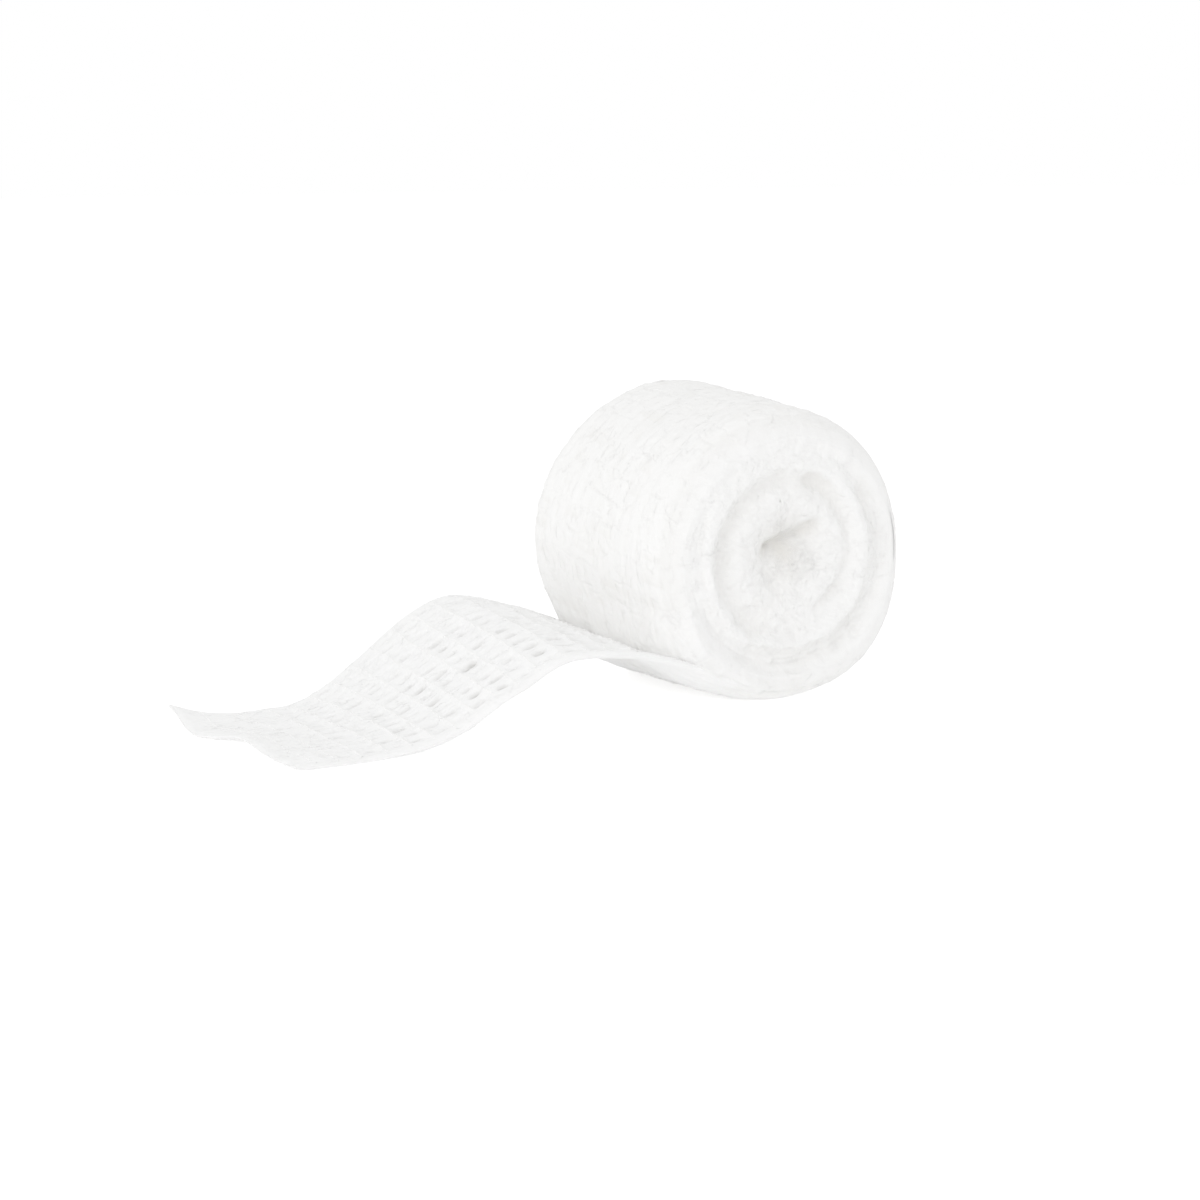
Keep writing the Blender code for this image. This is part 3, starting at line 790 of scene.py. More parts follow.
def loose_surface(strip, weave, fluff):
    """Both sides of the loose end as grids of points, with its normals, cloth places and a mask of painted shade.
    """
    lanes = np.linspace(0.0, 1.0, LANES)
    places, run = even_places(strip)
    under = underside(places, lanes, strip)
    tuck = tucked_rows(under[0], strip)
    under = np.concatenate((tuck, under))
    spacing = run[1] - run[0]
    run = np.concatenate((spacing * np.arange(-len(tuck), 0), run))
    up = -normals_of(under)
    across = np.broadcast_to((lanes - 0.5) * strip.width, under.shape[:2])
    run = np.broadcast_to(run[:, None], under.shape[:2])
    share_run = np.clip(run / run.max(), 0.0, 1.0)
    edge = strip.width / 2 - np.abs(across)
    thickness = mix(strip.thickness, FLAT_END_THICKNESS, ease(share_run * 3.0 - 2.0))
    thickness = thickness * mix(0.8, 1.0, ease(edge / 6.0))

    relief, slot, off_weft = gauze(across, run, weave, fluff.nap * NAP_SHARE, 61, LOOSE_WEFT_STEP)
    smooth_end = 1.0 - ease((run - SMOOTH_END[0]) / SMOOTH_END[1])
    body = ease((edge - weave.selvedge * 0.75) / (weave.selvedge * 0.7))
    gap = gap_depths(across, run, slot, body, smooth_end)
    ridge = WEFT_RIDGE[0] * bump(off_weft, WEFT_RIDGE[1]) * body * smooth_end
    bead = BEAD[0] * bump(edge - BEAD[1], BEAD[2]) - BEAD_GROOVE[0] * bump(edge - BEAD_GROOVE[1], BEAD_GROOVE[2])
    waves = END_WAVES[0] * cloth_noise(across, run, *END_WAVES[1:], 62) * (1.0 - smooth_end)
    calm = mix(0.35, 1.0, body) * mix(0.5, 1.0, smooth_end)
    swell = SWELL[0] * cloth_noise(across, run, *SWELL[1:], 63)
    rounding = np.sqrt(np.clip(1.0 - (1.0 - np.clip(edge / EDGE_ROUND, 0.0, 1.0)) ** 2, 0.02, 1.0))
    end_rounding = np.clip((run.max() - run) / END_ROUND, 0.12, 1.0) ** 0.5
    half = thickness / 2 * rounding * end_rounding
    under_nap = cloth_noise(across, run, *UNDER_NAP, 64) * fluff.nap
    under_strands = weave.strand * np.cos(2 * TAU * across / weave.bundle)
    above = half + (relief * calm + ridge + waves + bead * 0.6) * rounding - gap * weave.slot_depth
    below = half + (UNDER_SHARE * (under_nap - under_strands) + bead * 0.4) * rounding
    below = below - gap * weave.slot_depth * UNDER_SLOT
    thin = above + below < THINNEST
    above = np.where(thin, (above - below + THINNEST) / 2, above)
    below = np.where(thin, THINNEST - above, below)

    sideways = np.gradient(under, axis=1)
    sideways /= np.linalg.norm(sideways, axis=-1, keepdims=True)
    waver = EDGE_WAVER * soft_noise(np.stack((run / 5.0, np.sign(across) * 9.5), axis=-1), 65)
    waver = waver * np.sign(across) * bump(edge, 3.0)
    sink = START_SINK * (1.0 - ease(run / START_REACH))
    middle = under + up * (thickness / 2 + swell * rounding + sink)[..., None] + sideways * waver[..., None]
    top = middle + up * above[..., None]
    bottom = middle - up * below[..., None]
    bottom[..., 2] = np.maximum(bottom[..., 2], 0.0)
    top[..., 2] = np.maximum(top[..., 2], bottom[..., 2] + 0.1)

    # Painted shade for the gaps, which thin cloth closes: the wider a gap opens the darker it is, unevenly and
    # most towards the front edge; dents are darkened a little too
    ragged = 1.0 + layered(across, run, RAGGED, 66)
    front = mix(1.0, 0.4, ease((across + 2.0) / 18.0))
    gap_shade = sum(share * ease((gap - start) / GAP_SHADE_REACH) for share, start in (FAINT_GAP_SHADE, DARK_GAP_SHADE))
    hollow = np.clip(gap_shade * ragged * front + np.clip(-relief, 0.0, 1.0) * 0.08, 0.0, 1.0)
    cloth = np.stack((across, run, np.zeros_like(across)), axis=-1)
    return top, bottom, up, cloth, hollow


def sheet_faces(rows, lanes):
    """Quads of a closed sheet over a grid, top side then bottom, joined round its edge."""
    under = rows * lanes
    row, lane = np.meshgrid(np.arange(rows - 1), np.arange(lanes - 1), indexing="ij")
    corner = (row * lanes + lane).ravel()
    upper = np.stack((corner, corner + 1, corner + lanes + 1, corner + lanes), axis=-1)
    number = np.arange(under).reshape(rows, lanes)
    rim = np.concatenate((number[0, :-1], number[:-1, -1], number[-1, :0:-1], number[:0:-1, 0]))
    after = np.roll(rim, -1)
    side = np.stack((after, rim, rim + under, after + under), axis=-1)
    return np.concatenate((upper, upper[:, (0, 3, 2, 1)] + under, side))


# ---------------------------------------------------------------------------------------------------------
# Meshes
# ---------------------------------------------------------------------------------------------------------
def lay_mesh(name, points, faces, material, values=None, normals=None):
    """Makes a smooth piece from points in millimetres and lists of faces, with values held on its points."""
    used = np.unique(np.concatenate([part.ravel() for part in faces]))
    place = np.zeros(len(points), int)
    place[used] = np.arange(len(used))
    data = bpy.data.meshes.new(name)
    corners = [face for part in faces for face in place[part].tolist()]
    data.from_pydata((points[used] * MM).tolist(), [], corners)
    data.update()
    data.shade_smooth()
    for key, held in (values or {}).items():
        kind, field = ("FLOAT_VECTOR", "vector") if held.ndim > 1 else ("FLOAT", "value")
        layer = data.attributes.new(key, kind, "POINT")
        layer.data.foreach_set(field, held[used].astype(np.float32).ravel())
    if normals is not None:
        unit = normals[used] / np.maximum(np.linalg.norm(normals[used], axis=-1, keepdims=True), TINY)
        data.normals_split_custom_set_from_vertices(unit.tolist())
    data.materials.append(material)
    piece = bpy.data.objects.new(name, data)
    bpy.context.scene.collection.objects.link(piece)
    return piece


def seat(piece, node=None):
    """Rides a piece on the bandage's body, and hides the solid it stands for where one is given."""
    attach(piece, BODY)
    if node is not None:
        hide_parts(node)
    return piece


def grid_faces(rows, columns):
    """Quads over a grid, rows x columns of points, facing out for a roll whose rows run along +Y."""
    row, column = np.meshgrid(np.arange(rows - 1), np.arange(columns - 1), indexing="ij")
    corner = (row * columns + column).ravel()
    return np.stack((corner, corner + columns, corner + columns + 1, corner + 1), axis=-1)


def roll_patch(surface, first, last, name, material, cap=None):
    """One piece of the roll: the rows from first to last of its grid, closed round and across its step."""
    points, normals, cloth, hollow = (part[first:last + 1] for part in surface[:4])
    if cap is not None:
        cloth = points
    rows, columns = points.shape[:2]
    start = np.arange(rows - 1) * columns
    step = np.stack((start + columns - 1, start + 2 * columns - 1, start + columns, start), axis=-1)
    flat = [part.reshape(-1, *part.shape[2:]) for part in (points, normals, cloth, hollow)]
    joined = np.nonzero(np.linalg.norm(points[:, 0] - points[:, -1], axis=-1) < SAME_PLACE)[0]
    stands_for = np.arange(len(flat[0]))
    stands_for[(joined + 1) * columns - 1] = joined * columns
    step = stands_for[step]
    open_step = (step[:, 0] != step[:, 3]) & (step[:, 1] != step[:, 2])
    faces = [stands_for[grid_faces(rows, columns)], step[open_step]]
    if cap is not None:
        ring = 0 if cap == "near" else rows - 1
        rim = ring * columns + np.arange(columns)
        rim[-1] = rim[0]
        flat = [np.concatenate((part, part[rim[:-1]].mean(axis=0, keepdims=True))) for part in flat]
        centre = np.full(columns - 1, len(flat[0]) - 1)
        fan = (rim[:-1], rim[1:]) if cap == "near" else (rim[1:], rim[:-1])
        faces.append(np.stack((*fan, centre), axis=-1))
    points, normals, cloth, hollow = flat
    return lay_mesh(name, points, faces, material, {"cloth": cloth * MM, "hollow": hollow}, normals)


def tubes(paths, radii, sides):
    """Points and quads of thin round tubes: paths is (tubes, steps, 3) and radii (tubes, steps)."""
    run = np.gradient(paths, axis=1)
    run /= np.maximum(np.linalg.norm(run, axis=-1, keepdims=True), TINY)
    side = np.cross(run, np.array([0.31, 0.17, 0.93]))
    side /= np.maximum(np.linalg.norm(side, axis=-1, keepdims=True), TINY)
    other = np.cross(run, side)
    turn = TAU * np.arange(sides) / sides
    ring = side[:, :, None] * np.cos(turn)[:, None] + other[:, :, None] * np.sin(turn)[:, None]
    points = paths[:, :, None] + ring * radii[:, :, None, None]
    count, steps = paths.shape[:2]
    tube, step, k = np.meshgrid(np.arange(count), np.arange(steps - 1), np.arange(sides), indexing="ij")
    first = (tube * steps + step) * sides
    after = (k + 1) % sides
    faces = np.stack((first + k, first + after, first + sides + after, first + sides + k), axis=-1)
    return points.reshape(-1, 3), faces.reshape(-1, 4)


FIBRE_STEPS = 8
FIBRE_LIFT = 0.32               # the most that the middle of a fibre stands up
FIBRE_SINK = 0.08               # how far its ends lie in the cloth
FIBRE_SIDES, THREAD_SIDES = 3, 6


def stray_fibres(name, spots, normals, lengthwise, count, seed, fluff, material):
    """Curved cotton fibres that lie on a surface, with their middles a little raised."""
    dice = np.random.default_rng(seed)
    pick = dice.integers(0, len(spots), count)
    spot, up = spots[pick], normals[pick]
    aim = dice.normal(size=(count, 3)) + lengthwise[pick] * 0.8
    aim -= up * np.sum(aim * up, axis=-1, keepdims=True)
    aim /= np.maximum(np.linalg.norm(aim, axis=-1, keepdims=True), TINY)
    turn = np.cross(up, aim)
    long = fluff.fibre_length * dice.uniform(0.35, 1.3, count)
    bend = dice.uniform(-0.5, 0.5, (count, 2))
    height = FIBRE_LIFT * dice.uniform(0.2, 1.0, count) ** 2 + 0.03
    steps = np.linspace(0.0, 1.0, FIBRE_STEPS)
    from_middle = steps * 2.0 - 1.0
    ahead = (steps - 0.5) * long[:, None]
    curve = bend[:, :1] * from_middle ** 2 + bend[:, 1:] * np.sin(steps * TAU) * 0.3
    sideways = curve * long[:, None] * 0.5
    raised = height[:, None] * np.sin(steps * math.pi) - FIBRE_SINK
    paths = (
        spot[:, None] + aim[:, None] * ahead[..., None] + turn[:, None] * sideways[..., None]
        + up[:, None] * raised[..., None]
    )
    paths[..., 2] = np.maximum(paths[..., 2], 0.05)
    thinning = 1.0 - 0.7 * np.abs(from_middle) ** 3
    radii = fluff.fibre_radius * dice.uniform(0.6, 1.3, count)[:, None] * thinning
    points, faces = tubes(paths, radii, FIBRE_SIDES)
    return lay_mesh(name, points, [faces], material)


# ---------------------------------------------------------------------------------------------------------
# Materials
# ---------------------------------------------------------------------------------------------------------
def node(tree, kind, **settings):
    made = tree.nodes.new(kind)
    for key, value in settings.items():
        setattr(made, key, value)
    return made


def new_group(name, inputs, outputs):
    """An empty node group with named sockets, and its input and output nodes."""
    tree = bpy.data.node_groups.new(name, "ShaderNodeTree")
    for socket, kind, default in inputs:
        made = tree.interface.new_socket(name=socket, in_out="INPUT", socket_type=kind)
        if default is not None:
            made.default_value = default
    for socket, kind in outputs:
        tree.interface.new_socket(name=socket, in_out="OUTPUT", socket_type=kind)
    return tree, tree.nodes.new("NodeGroupInput"), tree.nodes.new("NodeGroupOutput")


def math_node(tree, operation, first, second=None):
    made = node(tree, "ShaderNodeMath", operation=operation)
    for socket, value in zip(made.inputs, (first, second)):
        if value is None:
            continue
        if isinstance(value, (int, float)):
            socket.default_value = value
        else:
            tree.links.new(value, socket)
    return made.outputs[0]


def cotton_fibre_group():
    """Fine fibres drawn out along the yarn, as a height and a mask."""
    tree, given, result = new_group(
        "cotton_fibre",
        (("Place", "NodeSocketVector", None), ("Fibre Width", "NodeSocketFloat", 0.15 * MM),
         ("Fibre Length", "NodeSocketFloat", 1.2 * MM), ("Tangle", "NodeSocketFloat", 0.6)),
        (("Height", "NodeSocketFloat"), ("Strands", "NodeSocketFloat")),
    )
    width, long = given.outputs["Fibre Width"], given.outputs["Fibre Length"]
    spread = node(tree, "ShaderNodeCombineXYZ")
    tree.links.new(math_node(tree, "DIVIDE", 1.0, width), spread.inputs[0])
    tree.links.new(math_node(tree, "DIVIDE", 1.0, long), spread.inputs[1])
    tree.links.new(math_node(tree, "DIVIDE", 1.0, width), spread.inputs[2])
    drawn = node(tree, "ShaderNodeVectorMath", operation="MULTIPLY")
    tree.links.new(given.outputs["Place"], drawn.inputs[0])
    tree.links.new(spread.outputs[0], drawn.inputs[1])
    strands = node(tree, "ShaderNodeTexNoise")
    strands.inputs["Scale"].default_value = 1.0
    strands.inputs["Detail"].default_value = 3.0
    tree.links.new(drawn.outputs[0], strands.inputs["Vector"])
    tree.links.new(given.outputs["Tangle"], strands.inputs["Distortion"])
    fuzz = node(tree, "ShaderNodeTexNoise")
    fuzz.inputs["Detail"].default_value = 2.0
    tree.links.new(given.outputs["Place"], fuzz.inputs["Vector"])
    tree.links.new(math_node(tree, "DIVIDE", 0.7, width), fuzz.inputs["Scale"])
    height = math_node(tree, "ADD", math_node(tree, "MULTIPLY", strands.outputs["Fac"], 0.65),
                       math_node(tree, "MULTIPLY", fuzz.outputs["Fac"], 0.35))
    tree.links.new(height, result.inputs["Height"])
    tree.links.new(strands.outputs["Fac"], result.inputs["Strands"])
    return tree


def bleached_tone_group():
    """Bleached white, mixed towards a darker warm tone by a mask that paints shade in recesses and gaps (and on
    the wall a warm mottle), and a little uneven all over.
    """
    tree, given, result = new_group(
        "bleached_tone",
        (("Cotton", "NodeSocketColor", (0.94, 0.94, 0.94, 1.0)), ("Hollow Tone", "NodeSocketColor", None),
         ("Hollow", "NodeSocketFloat", 0.0), ("Strands", "NodeSocketFloat", 0.5),
         ("Place", "NodeSocketVector", None), ("Mottle", "NodeSocketFloat", 0.25)),
        (("Colour", "NodeSocketColor"), ("Roughness", "NodeSocketFloat")),
    )
    patches = node(tree, "ShaderNodeTexNoise")
    patches.inputs["Scale"].default_value = 1.0 / (6.0 * MM)
    patches.inputs["Detail"].default_value = 3.0
    tree.links.new(given.outputs["Place"], patches.inputs["Vector"])
    uneven = math_node(tree, "MULTIPLY", patches.outputs["Fac"], given.outputs["Mottle"])
    drawn = math_node(tree, "MULTIPLY", math_node(tree, "SUBTRACT", 0.6, given.outputs["Strands"]), 0.3)
    shade = math_node(tree, "ADD", math_node(tree, "ADD", given.outputs["Hollow"], uneven), drawn)
    held = node(tree, "ShaderNodeClamp")
    tree.links.new(shade, held.inputs["Value"])
    blend = node(tree, "ShaderNodeMix", data_type="RGBA")
    tree.links.new(held.outputs[0], blend.inputs["Factor"])
    tree.links.new(given.outputs["Cotton"], blend.inputs[6])
    tree.links.new(given.outputs["Hollow Tone"], blend.inputs[7])
    tree.links.new(blend.outputs[2], result.inputs["Colour"])
    rough = math_node(tree, "ADD", math_node(tree, "MULTIPLY", given.outputs["Strands"], 0.12), 0.86)
    tree.links.new(rough, result.inputs["Roughness"])
    return tree


# Each finish's fibre width and length and its bump's depth, in millimetres, and how tangled its fibres are
Grain = namedtuple("Grain", "width length depth tangle")
GRAINS = {
    "wall_cotton": Grain(0.16, 1.6, 0.12, 0.6),
    "turn_edges": Grain(0.22, 0.5, 0.16, 1.6),
    "loose_end_cotton": Grain(0.16, 1.4, 0.12, 0.6),
    "weft_thread": Grain(0.05, 0.4, 0.03, 0.6),
    "stray_fibre": Grain(0.03, 0.5, 0.01, 0.6),
}


def shared_group(name, make):
    return bpy.data.node_groups.get(name) or make()


def cotton_material(name, finish, cotton, hollow_tone):
    """Brushed white cotton: fibre bump, painted shade in a darker warm tone where its mask asks for it, and an
    uneven white, placed by the cloth itself.
    """
    material = bpy.data.materials.get(name)
    if material is not None:
        return material
    grain = GRAINS[name]
    material = bpy.data.materials.new(name)
    material.use_nodes = True
    tree = material.node_tree
    shader = tree.nodes["Principled BSDF"]
    place = node(tree, "ShaderNodeAttribute", attribute_name="cloth")
    hollow = node(tree, "ShaderNodeAttribute", attribute_name="hollow")
    fibre = node(tree, "ShaderNodeGroup", node_tree=shared_group("cotton_fibre", cotton_fibre_group))
    fibre.inputs["Fibre Width"].default_value = grain.width * MM
    fibre.inputs["Fibre Length"].default_value = grain.length * MM
    fibre.inputs["Tangle"].default_value = grain.tangle
    tree.links.new(place.outputs["Vector"], fibre.inputs["Place"])
    tone = node(tree, "ShaderNodeGroup", node_tree=shared_group("bleached_tone", bleached_tone_group))
    tone.inputs["Cotton"].default_value = (*cotton, 1.0)
    tone.inputs["Hollow Tone"].default_value = (*hollow_tone, 1.0)
    tone.inputs["Mottle"].default_value = finish.mottle
    tree.links.new(hollow.outputs["Fac"], tone.inputs["Hollow"])
    tree.links.new(fibre.outputs["Strands"], tone.inputs["Strands"])
    tree.links.new(place.outputs["Vector"], tone.inputs["Place"])
    raised = node(tree, "ShaderNodeBump")
    raised.inputs["Strength"].default_value = 0.7
    raised.inputs["Distance"].default_value = grain.depth * MM
    tree.links.new(fibre.outputs["Height"], raised.inputs["Height"])
    tree.links.new(raised.outputs["Normal"], shader.inputs["Normal"])
    tree.links.new(tone.outputs["Colour"], shader.inputs["Base Color"])
    tree.links.new(tone.outputs["Roughness"], shader.inputs["Roughness"])
    shader.inputs["Specular IOR Level"].default_value = 0.2
    shader.inputs["Sheen Weight"].default_value = 0.08
    shader.inputs["Sheen Roughness"].default_value = 0.6
    return material


def floor_material(tone):
    """A plain pale floor that gives back a little light on its own and looks paler to the camera than it shines.
    """
    material = bpy.data.materials.new("pale_floor")
    material.use_nodes = True
    tree = material.node_tree
    shader = tree.nodes["Principled BSDF"]
    shader.inputs["Base Color"].default_value = (*tone, 1.0)
    shader.inputs["Roughness"].default_value = 0.95
    shader.inputs["Specular IOR Level"].default_value = 0.0
    shader.inputs["Emission Color"].default_value = (1.0, 1.0, 1.0, 1.0)
    seen = node(tree, "ShaderNodeLightPath")
    lift = math_node(tree, "MULTIPLY", seen.outputs["Is Camera Ray"], FLOOR_LIFT)
    glow = math_node(tree, "ADD", lift, FLOOR_GLOW)
    tree.links.new(glow, shader.inputs["Emission Strength"])
    return material


# ---------------------------------------------------------------------------------------------------------
# Operators
# ---------------------------------------------------------------------------------------------------------
made_surfaces = {}


def grid_of(make):
    """A surface's finished grid, worked out once for the sizes as they stand."""
    given = sizes("gauze_strip"), sizes("gauze_weave"), sizes("gauze_fluff")
    if (make, given) not in made_surfaces:
        made_surfaces[make, given] = make(*given)
    return made_surfaces[make, given]


class GAUZE_OT_roll_wall(bpy.types.Operator):
    """Lay the wall of the roll, the strip's outer turn"""

    bl_idname = "gauze.roll_wall"
    bl_label = "Roll Wall"

    def execute(self, context):
        finish = sizes("gauze_finish")
        surface = grid_of(roll_surface)
        material = cotton_material("wall_cotton", finish, finish.cotton, finish.hollow)
        seat(roll_patch(surface, *surface[4:], "roll_wall", material), ROLL_NODE)
        return {"FINISHED"}


class GAUZE_OT_roll_faces(bpy.types.Operator):
    """Lay the two end faces, where the edges of the turns show"""

    bl_idname = "gauze.roll_faces"
    bl_label = "Roll End Faces"

    def execute(self, context):
        finish = sizes("gauze_finish")
        surface = grid_of(roll_surface)
        material = cotton_material("turn_edges", finish, finish.cotton, finish.hollow)
        near_row, far_row = surface[4:]
        near = roll_patch(surface, 0, near_row, "roll_near_face", material, cap="near")
        far = roll_patch(surface, far_row, len(surface[0]) - 1, "roll_far_face", material, cap="far")
        for face in (near, far):
            seat(face, ROLL_NODE)
        return {"FINISHED"}


class GAUZE_OT_loose_end(bpy.types.Operator):
    """Lay the loose end with its weft threads and fibres, as one sheet"""

    bl_idname = "gauze.loose_end"
    bl_label = "Loose End"

    def execute(self, context):
        strip, weave, fluff = sizes("gauze_strip"), sizes("gauze_weave"), sizes("gauze_fluff")
        finish = sizes("gauze_finish")
        top, bottom, up, cloth, hollow = grid_of(loose_surface)
        points = np.concatenate((top.reshape(-1, 3), bottom.reshape(-1, 3)))
        values = {
            "cloth": np.tile(cloth.reshape(-1, 3), (2, 1)) * MM,
            "hollow": np.tile(hollow.ravel(), 2),
        }
        # The gap colour is the loose end's shade tone, painted shade for its gaps and dents
        material = cotton_material("loose_end_cotton", finish, finish.cotton, finish.gap)
        sheet = lay_mesh("loose_end_gauze", points, [sheet_faces(*top.shape[:2])], material, values)
        seat(sheet, LOOSE_NODE)
        thread_finish = cotton_material("weft_thread", finish, finish.thread, finish.hollow)
        threads = seat(loose_weft(top, up, cloth, weave, thread_finish))
        fibre_finish = cotton_material("stray_fibre", finish, finish.thread, finish.hollow)
        fibres = stray_fibres(
            "loose_end_fibres", *loose_spots(top, bottom, up), fluff.loose_fibres, 71, fluff, fibre_finish)
        seat(fibres)
        return {"FINISHED"}


def loose_spots(top, bottom, up):
    """Places for fibres on both sides of the loose end, with their normals and the direction of the strip."""
    run = np.gradient(top, axis=0)
    run /= np.linalg.norm(run, axis=-1, keepdims=True)
    above = (slice(12, -4), slice(3, -3))
    below = (slice(60, -4, 3), slice(3, -3))
    pairs = ((top, bottom), (up, -up), (run, run))
    return [np.concatenate((upper[above].reshape(-1, 3), lower[below].reshape(-1, 3))) for upper, lower in pairs]


THREAD_REACH = 24.0             # how far the weft threads go each way from the strip's middle
THREAD_LIFT, THREAD_DIP = -0.07, 0.05       # a thread's height against the cloth, and its rise and fall
THREAD_UNEVEN = 0.15


def loose_weft(top, up, cloth, weave, material):
    """The weft threads of the loose end: thin lines across its width that dip between the bundles."""
    run = cloth[:, 0, 1]
    across = cloth[0, :, 0]
    lane = np.arange(len(across))
    inside = np.abs(across) < THREAD_REACH
    paths, radii = [], []
    for number in range(1, int((run.max() - 2.0) / weave.weft) + 1):
        off = weft_line(across, np.full_like(across, number), weave, 63, LOOSE_WEFT_STEP)
        row = np.interp(number * weave.weft + off, run, np.arange(len(run)))
        low = np.floor(row).astype(int)
        high = np.minimum(low + 1, len(run) - 1)
        part = (row - low)[:, None]
        points = mix(top[low, lane], top[high, lane], part)
        normal = mix(up[low, lane], up[high, lane], part)
        lift = THREAD_LIFT + THREAD_DIP * np.cos(TAU * across / weave.bundle * 2.0 + number * math.pi)
        paths.append((points + normal * lift[:, None])[inside])
        radii.append(weave.thread * (1.0 + THREAD_UNEVEN * np.sin(across[inside] * 1.7 + number)))
    points, faces = tubes(np.array(paths), np.array(radii), THREAD_SIDES)
    return lay_mesh("loose_end_weft", points, [faces], material)


CLEAR_OF_FLOOR = 1.5            # no fibres of the roll start lower than this


class GAUZE_OT_roll_fibres(bpy.types.Operator):
    """Scatter stray cotton fibres over the roll"""

    bl_idname = "gauze.roll_fibres"
    bl_label = "Fibres on the Roll"

    def execute(self, context):
        fluff, finish = sizes("gauze_fluff"), sizes("gauze_finish")
        keep = (slice(6, -6), slice(0, -1, 3))
        spots, turned = (part[keep].reshape(-1, 3) for part in grid_of(roll_surface)[:2])
        high = spots[:, 2] > CLEAR_OF_FLOOR
        lengthwise = np.cross(turned, np.array([0.0, 1.0, 0.0]))
        material = cotton_material("stray_fibre", finish, finish.thread, finish.hollow)
        fibres = stray_fibres(
            "roll_fibres", spots[high], turned[high], lengthwise[high], fluff.roll_fibres, 72, fluff, material)
        seat(fibres)
        return {"FINISHED"}


AIM = (-32.0, -5.5, 20.9)       # the point that the camera looks at
KEY_PLACE = (-650.0, -400.0, 300.0)
FLOOR_RADIUS = 4000.0
FLOOR_GLOW = 0.11               # light that the floor gives back on its own
FLOOR_LIFT = 0.28               # how much paler the floor looks than it shines
WHITE_BOUNCES = 10              # white cotton passes light on many times


class GAUZE_OT_stage(bpy.types.Operator):
    """Set the pale floor, the soft light and the camera"""

    bl_idname = "gauze.stage"
    bl_label = "Stage"

    def execute(self, context):
        stage = sizes("gauze_stage")
        build_floor(stage)
        build_lights(stage)
        build_camera(stage)
        context.scene.view_settings.view_transform = "Standard"
        context.scene.cycles.diffuse_bounces = WHITE_BOUNCES
        return {"FINISHED"}


def build_floor(stage):
    """A wide round floor at the height that the bandage rests on."""
    turn = np.linspace(0.0, TAU, 97)[:-1]
    rim = np.stack((np.cos(turn), np.sin(turn), np.zeros_like(turn)), axis=-1) * FLOOR_RADIUS
    data = bpy.data.meshes.new("floor")
    data.from_pydata((rim * MM).tolist(), [], [list(range(len(rim)))])
    data.materials.append(floor_material(stage.floor))
    floor = bpy.data.objects.new("floor", data)
    bpy.context.scene.collection.objects.link(floor)


def build_lights(stage):
    """White light from all round, a white backdrop for the camera, and one large soft key from the left front."""
    world = bpy.data.worlds.new("studio")
    bpy.context.scene.world = world
    world.use_nodes = True
    tree = world.node_tree
    sky = tree.nodes["Background"]
    sky.inputs["Color"].default_value = (1.0, 1.0, 1.0, 1.0)
    sky.inputs["Strength"].default_value = stage.sky
    backdrop = node(tree, "ShaderNodeBackground")
    backdrop.inputs["Color"].default_value = (1.0, 1.0, 1.0, 1.0)
    seen = node(tree, "ShaderNodeLightPath")
    blend = node(tree, "ShaderNodeMixShader")
    tree.links.new(seen.outputs["Is Camera Ray"], blend.inputs[0])
    tree.links.new(sky.outputs[0], blend.inputs[1])
    tree.links.new(backdrop.outputs[0], blend.inputs[2])
    tree.links.new(blend.outputs[0], tree.nodes["World Output"].inputs["Surface"])
    lamp = bpy.data.lights.new("key", "AREA")
    lamp.shape = "DISK"
    lamp.size = 0.5
    lamp.energy = stage.key
    key = bpy.data.objects.new("key", lamp)
    key.location = Vector(KEY_PLACE) * MM
    key.rotation_mode = "QUATERNION"
    key.rotation_quaternion = (Vector(AIM) * MM - key.location).to_track_quat("-Z", "Y")
    bpy.context.scene.collection.objects.link(key)


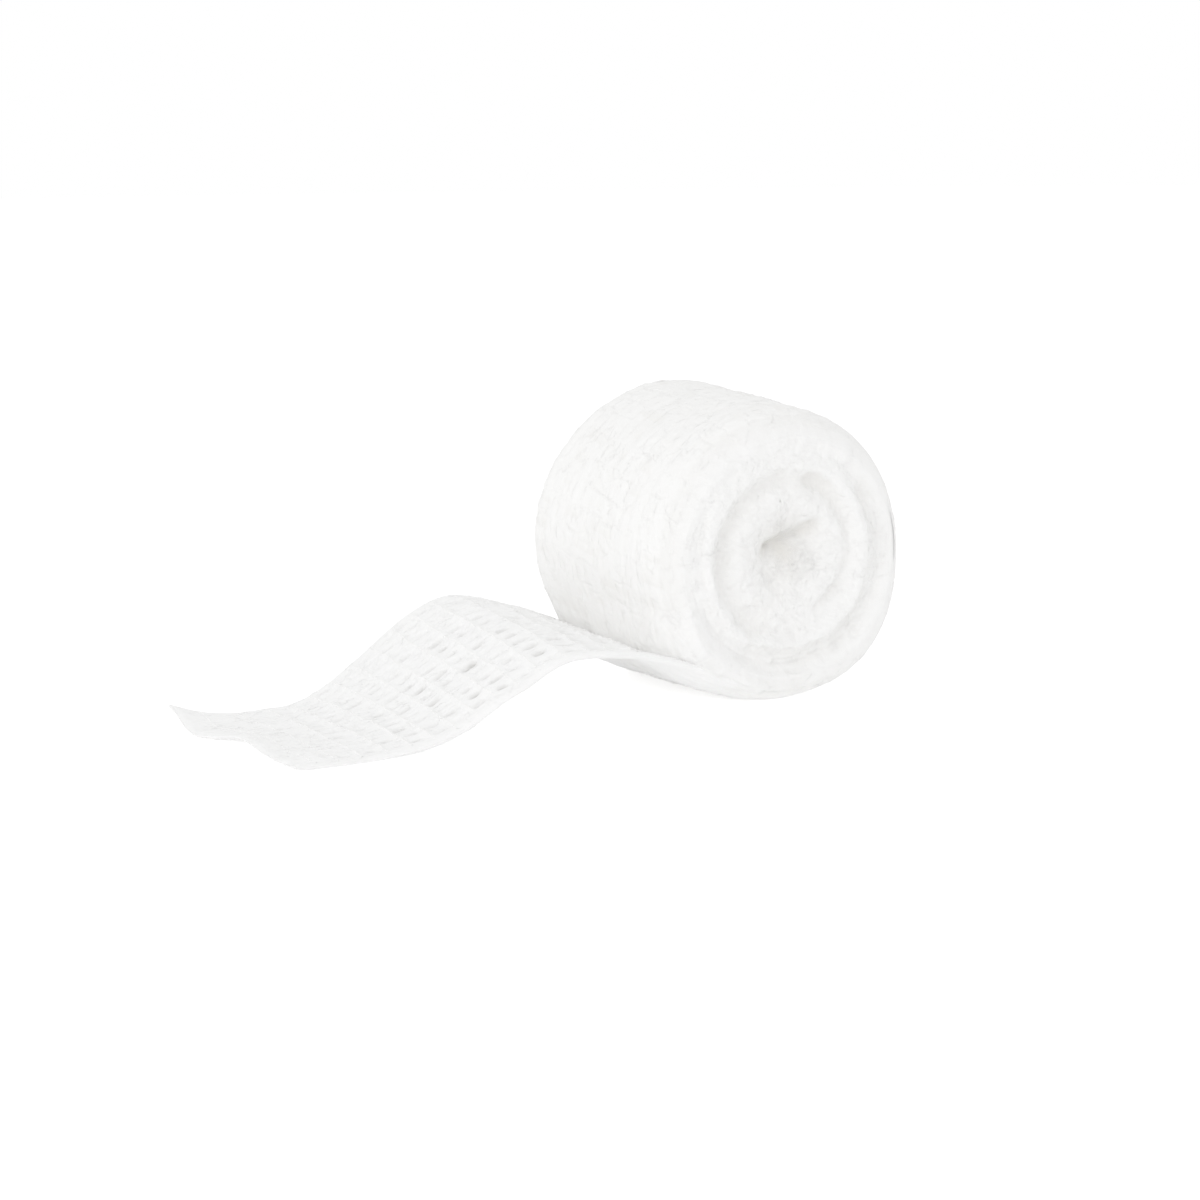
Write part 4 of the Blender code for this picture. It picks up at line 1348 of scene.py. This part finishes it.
def build_camera(stage):
    """The camera, set by its direction, its distance and the point it looks at."""
    forward = Vector((
        -math.sin(stage.azimuth) * math.cos(stage.elevation),
        math.cos(stage.azimuth) * math.cos(stage.elevation),
        -math.sin(stage.elevation),
    ))
    level = forward.cross(Vector((0.0, 0.0, 1.0))).normalized()
    right = Matrix.Rotation(-stage.tilt, 3, forward) @ level
    above = right.cross(forward)
    data = bpy.data.cameras.new("camera")
    data.lens = stage.lens
    data.sensor_width = 36.0
    data.clip_start = 0.01
    data.clip_end = 20.0
    camera = bpy.data.objects.new("camera", data)
    turn = Matrix((right, above, -forward)).transposed().to_4x4()
    place = Vector(AIM) * MM - forward * (stage.distance * MM)
    camera.matrix_world = Matrix.Translation(place) @ turn
    bpy.context.scene.collection.objects.link(camera)
    bpy.context.scene.camera = camera


OPERATORS = (
    GAUZE_OT_roll_wall,
    GAUZE_OT_roll_faces,
    GAUZE_OT_loose_end,
    GAUZE_OT_roll_fibres,
    GAUZE_OT_stage,
)


class GAUZE_PT_bandage(bpy.types.Panel):
    """The bandage's pieces, sizes and colours"""

    bl_idname = "GAUZE_PT_bandage"
    bl_label = "Gauze Bandage Roll"
    bl_space_type = "VIEW_3D"
    bl_region_type = "UI"
    bl_category = "Gauze"

    def draw(self, context):
        for operator in OPERATORS:
            self.layout.operator(operator.bl_idname)
        for group in PROPERTY_GROUPS:
            box = self.layout.box()
            held = getattr(context.scene, group)
            for key in held.bl_rna.properties.keys():
                if key not in ("rna_type", "name"):
                    box.prop(held, key)


def register():
    for kind in (*PROPERTY_GROUPS.values(), *OPERATORS, GAUZE_PT_bandage):
        bpy.utils.register_class(kind)
    for group, kind in PROPERTY_GROUPS.items():
        setattr(bpy.types.Scene, group, bpy.props.PointerProperty(type=kind))


def unregister():
    for group in PROPERTY_GROUPS:
        delattr(bpy.types.Scene, group)
    for kind in reversed((*PROPERTY_GROUPS.values(), *OPERATORS, GAUZE_PT_bandage)):
        bpy.utils.unregister_class(kind)


def main():
    register()
    for step in ("roll_wall", "roll_faces", "loose_end", "roll_fibres", "stage"):
        getattr(bpy.ops.gauze, step)()


if __name__ == "__main__":
    main()
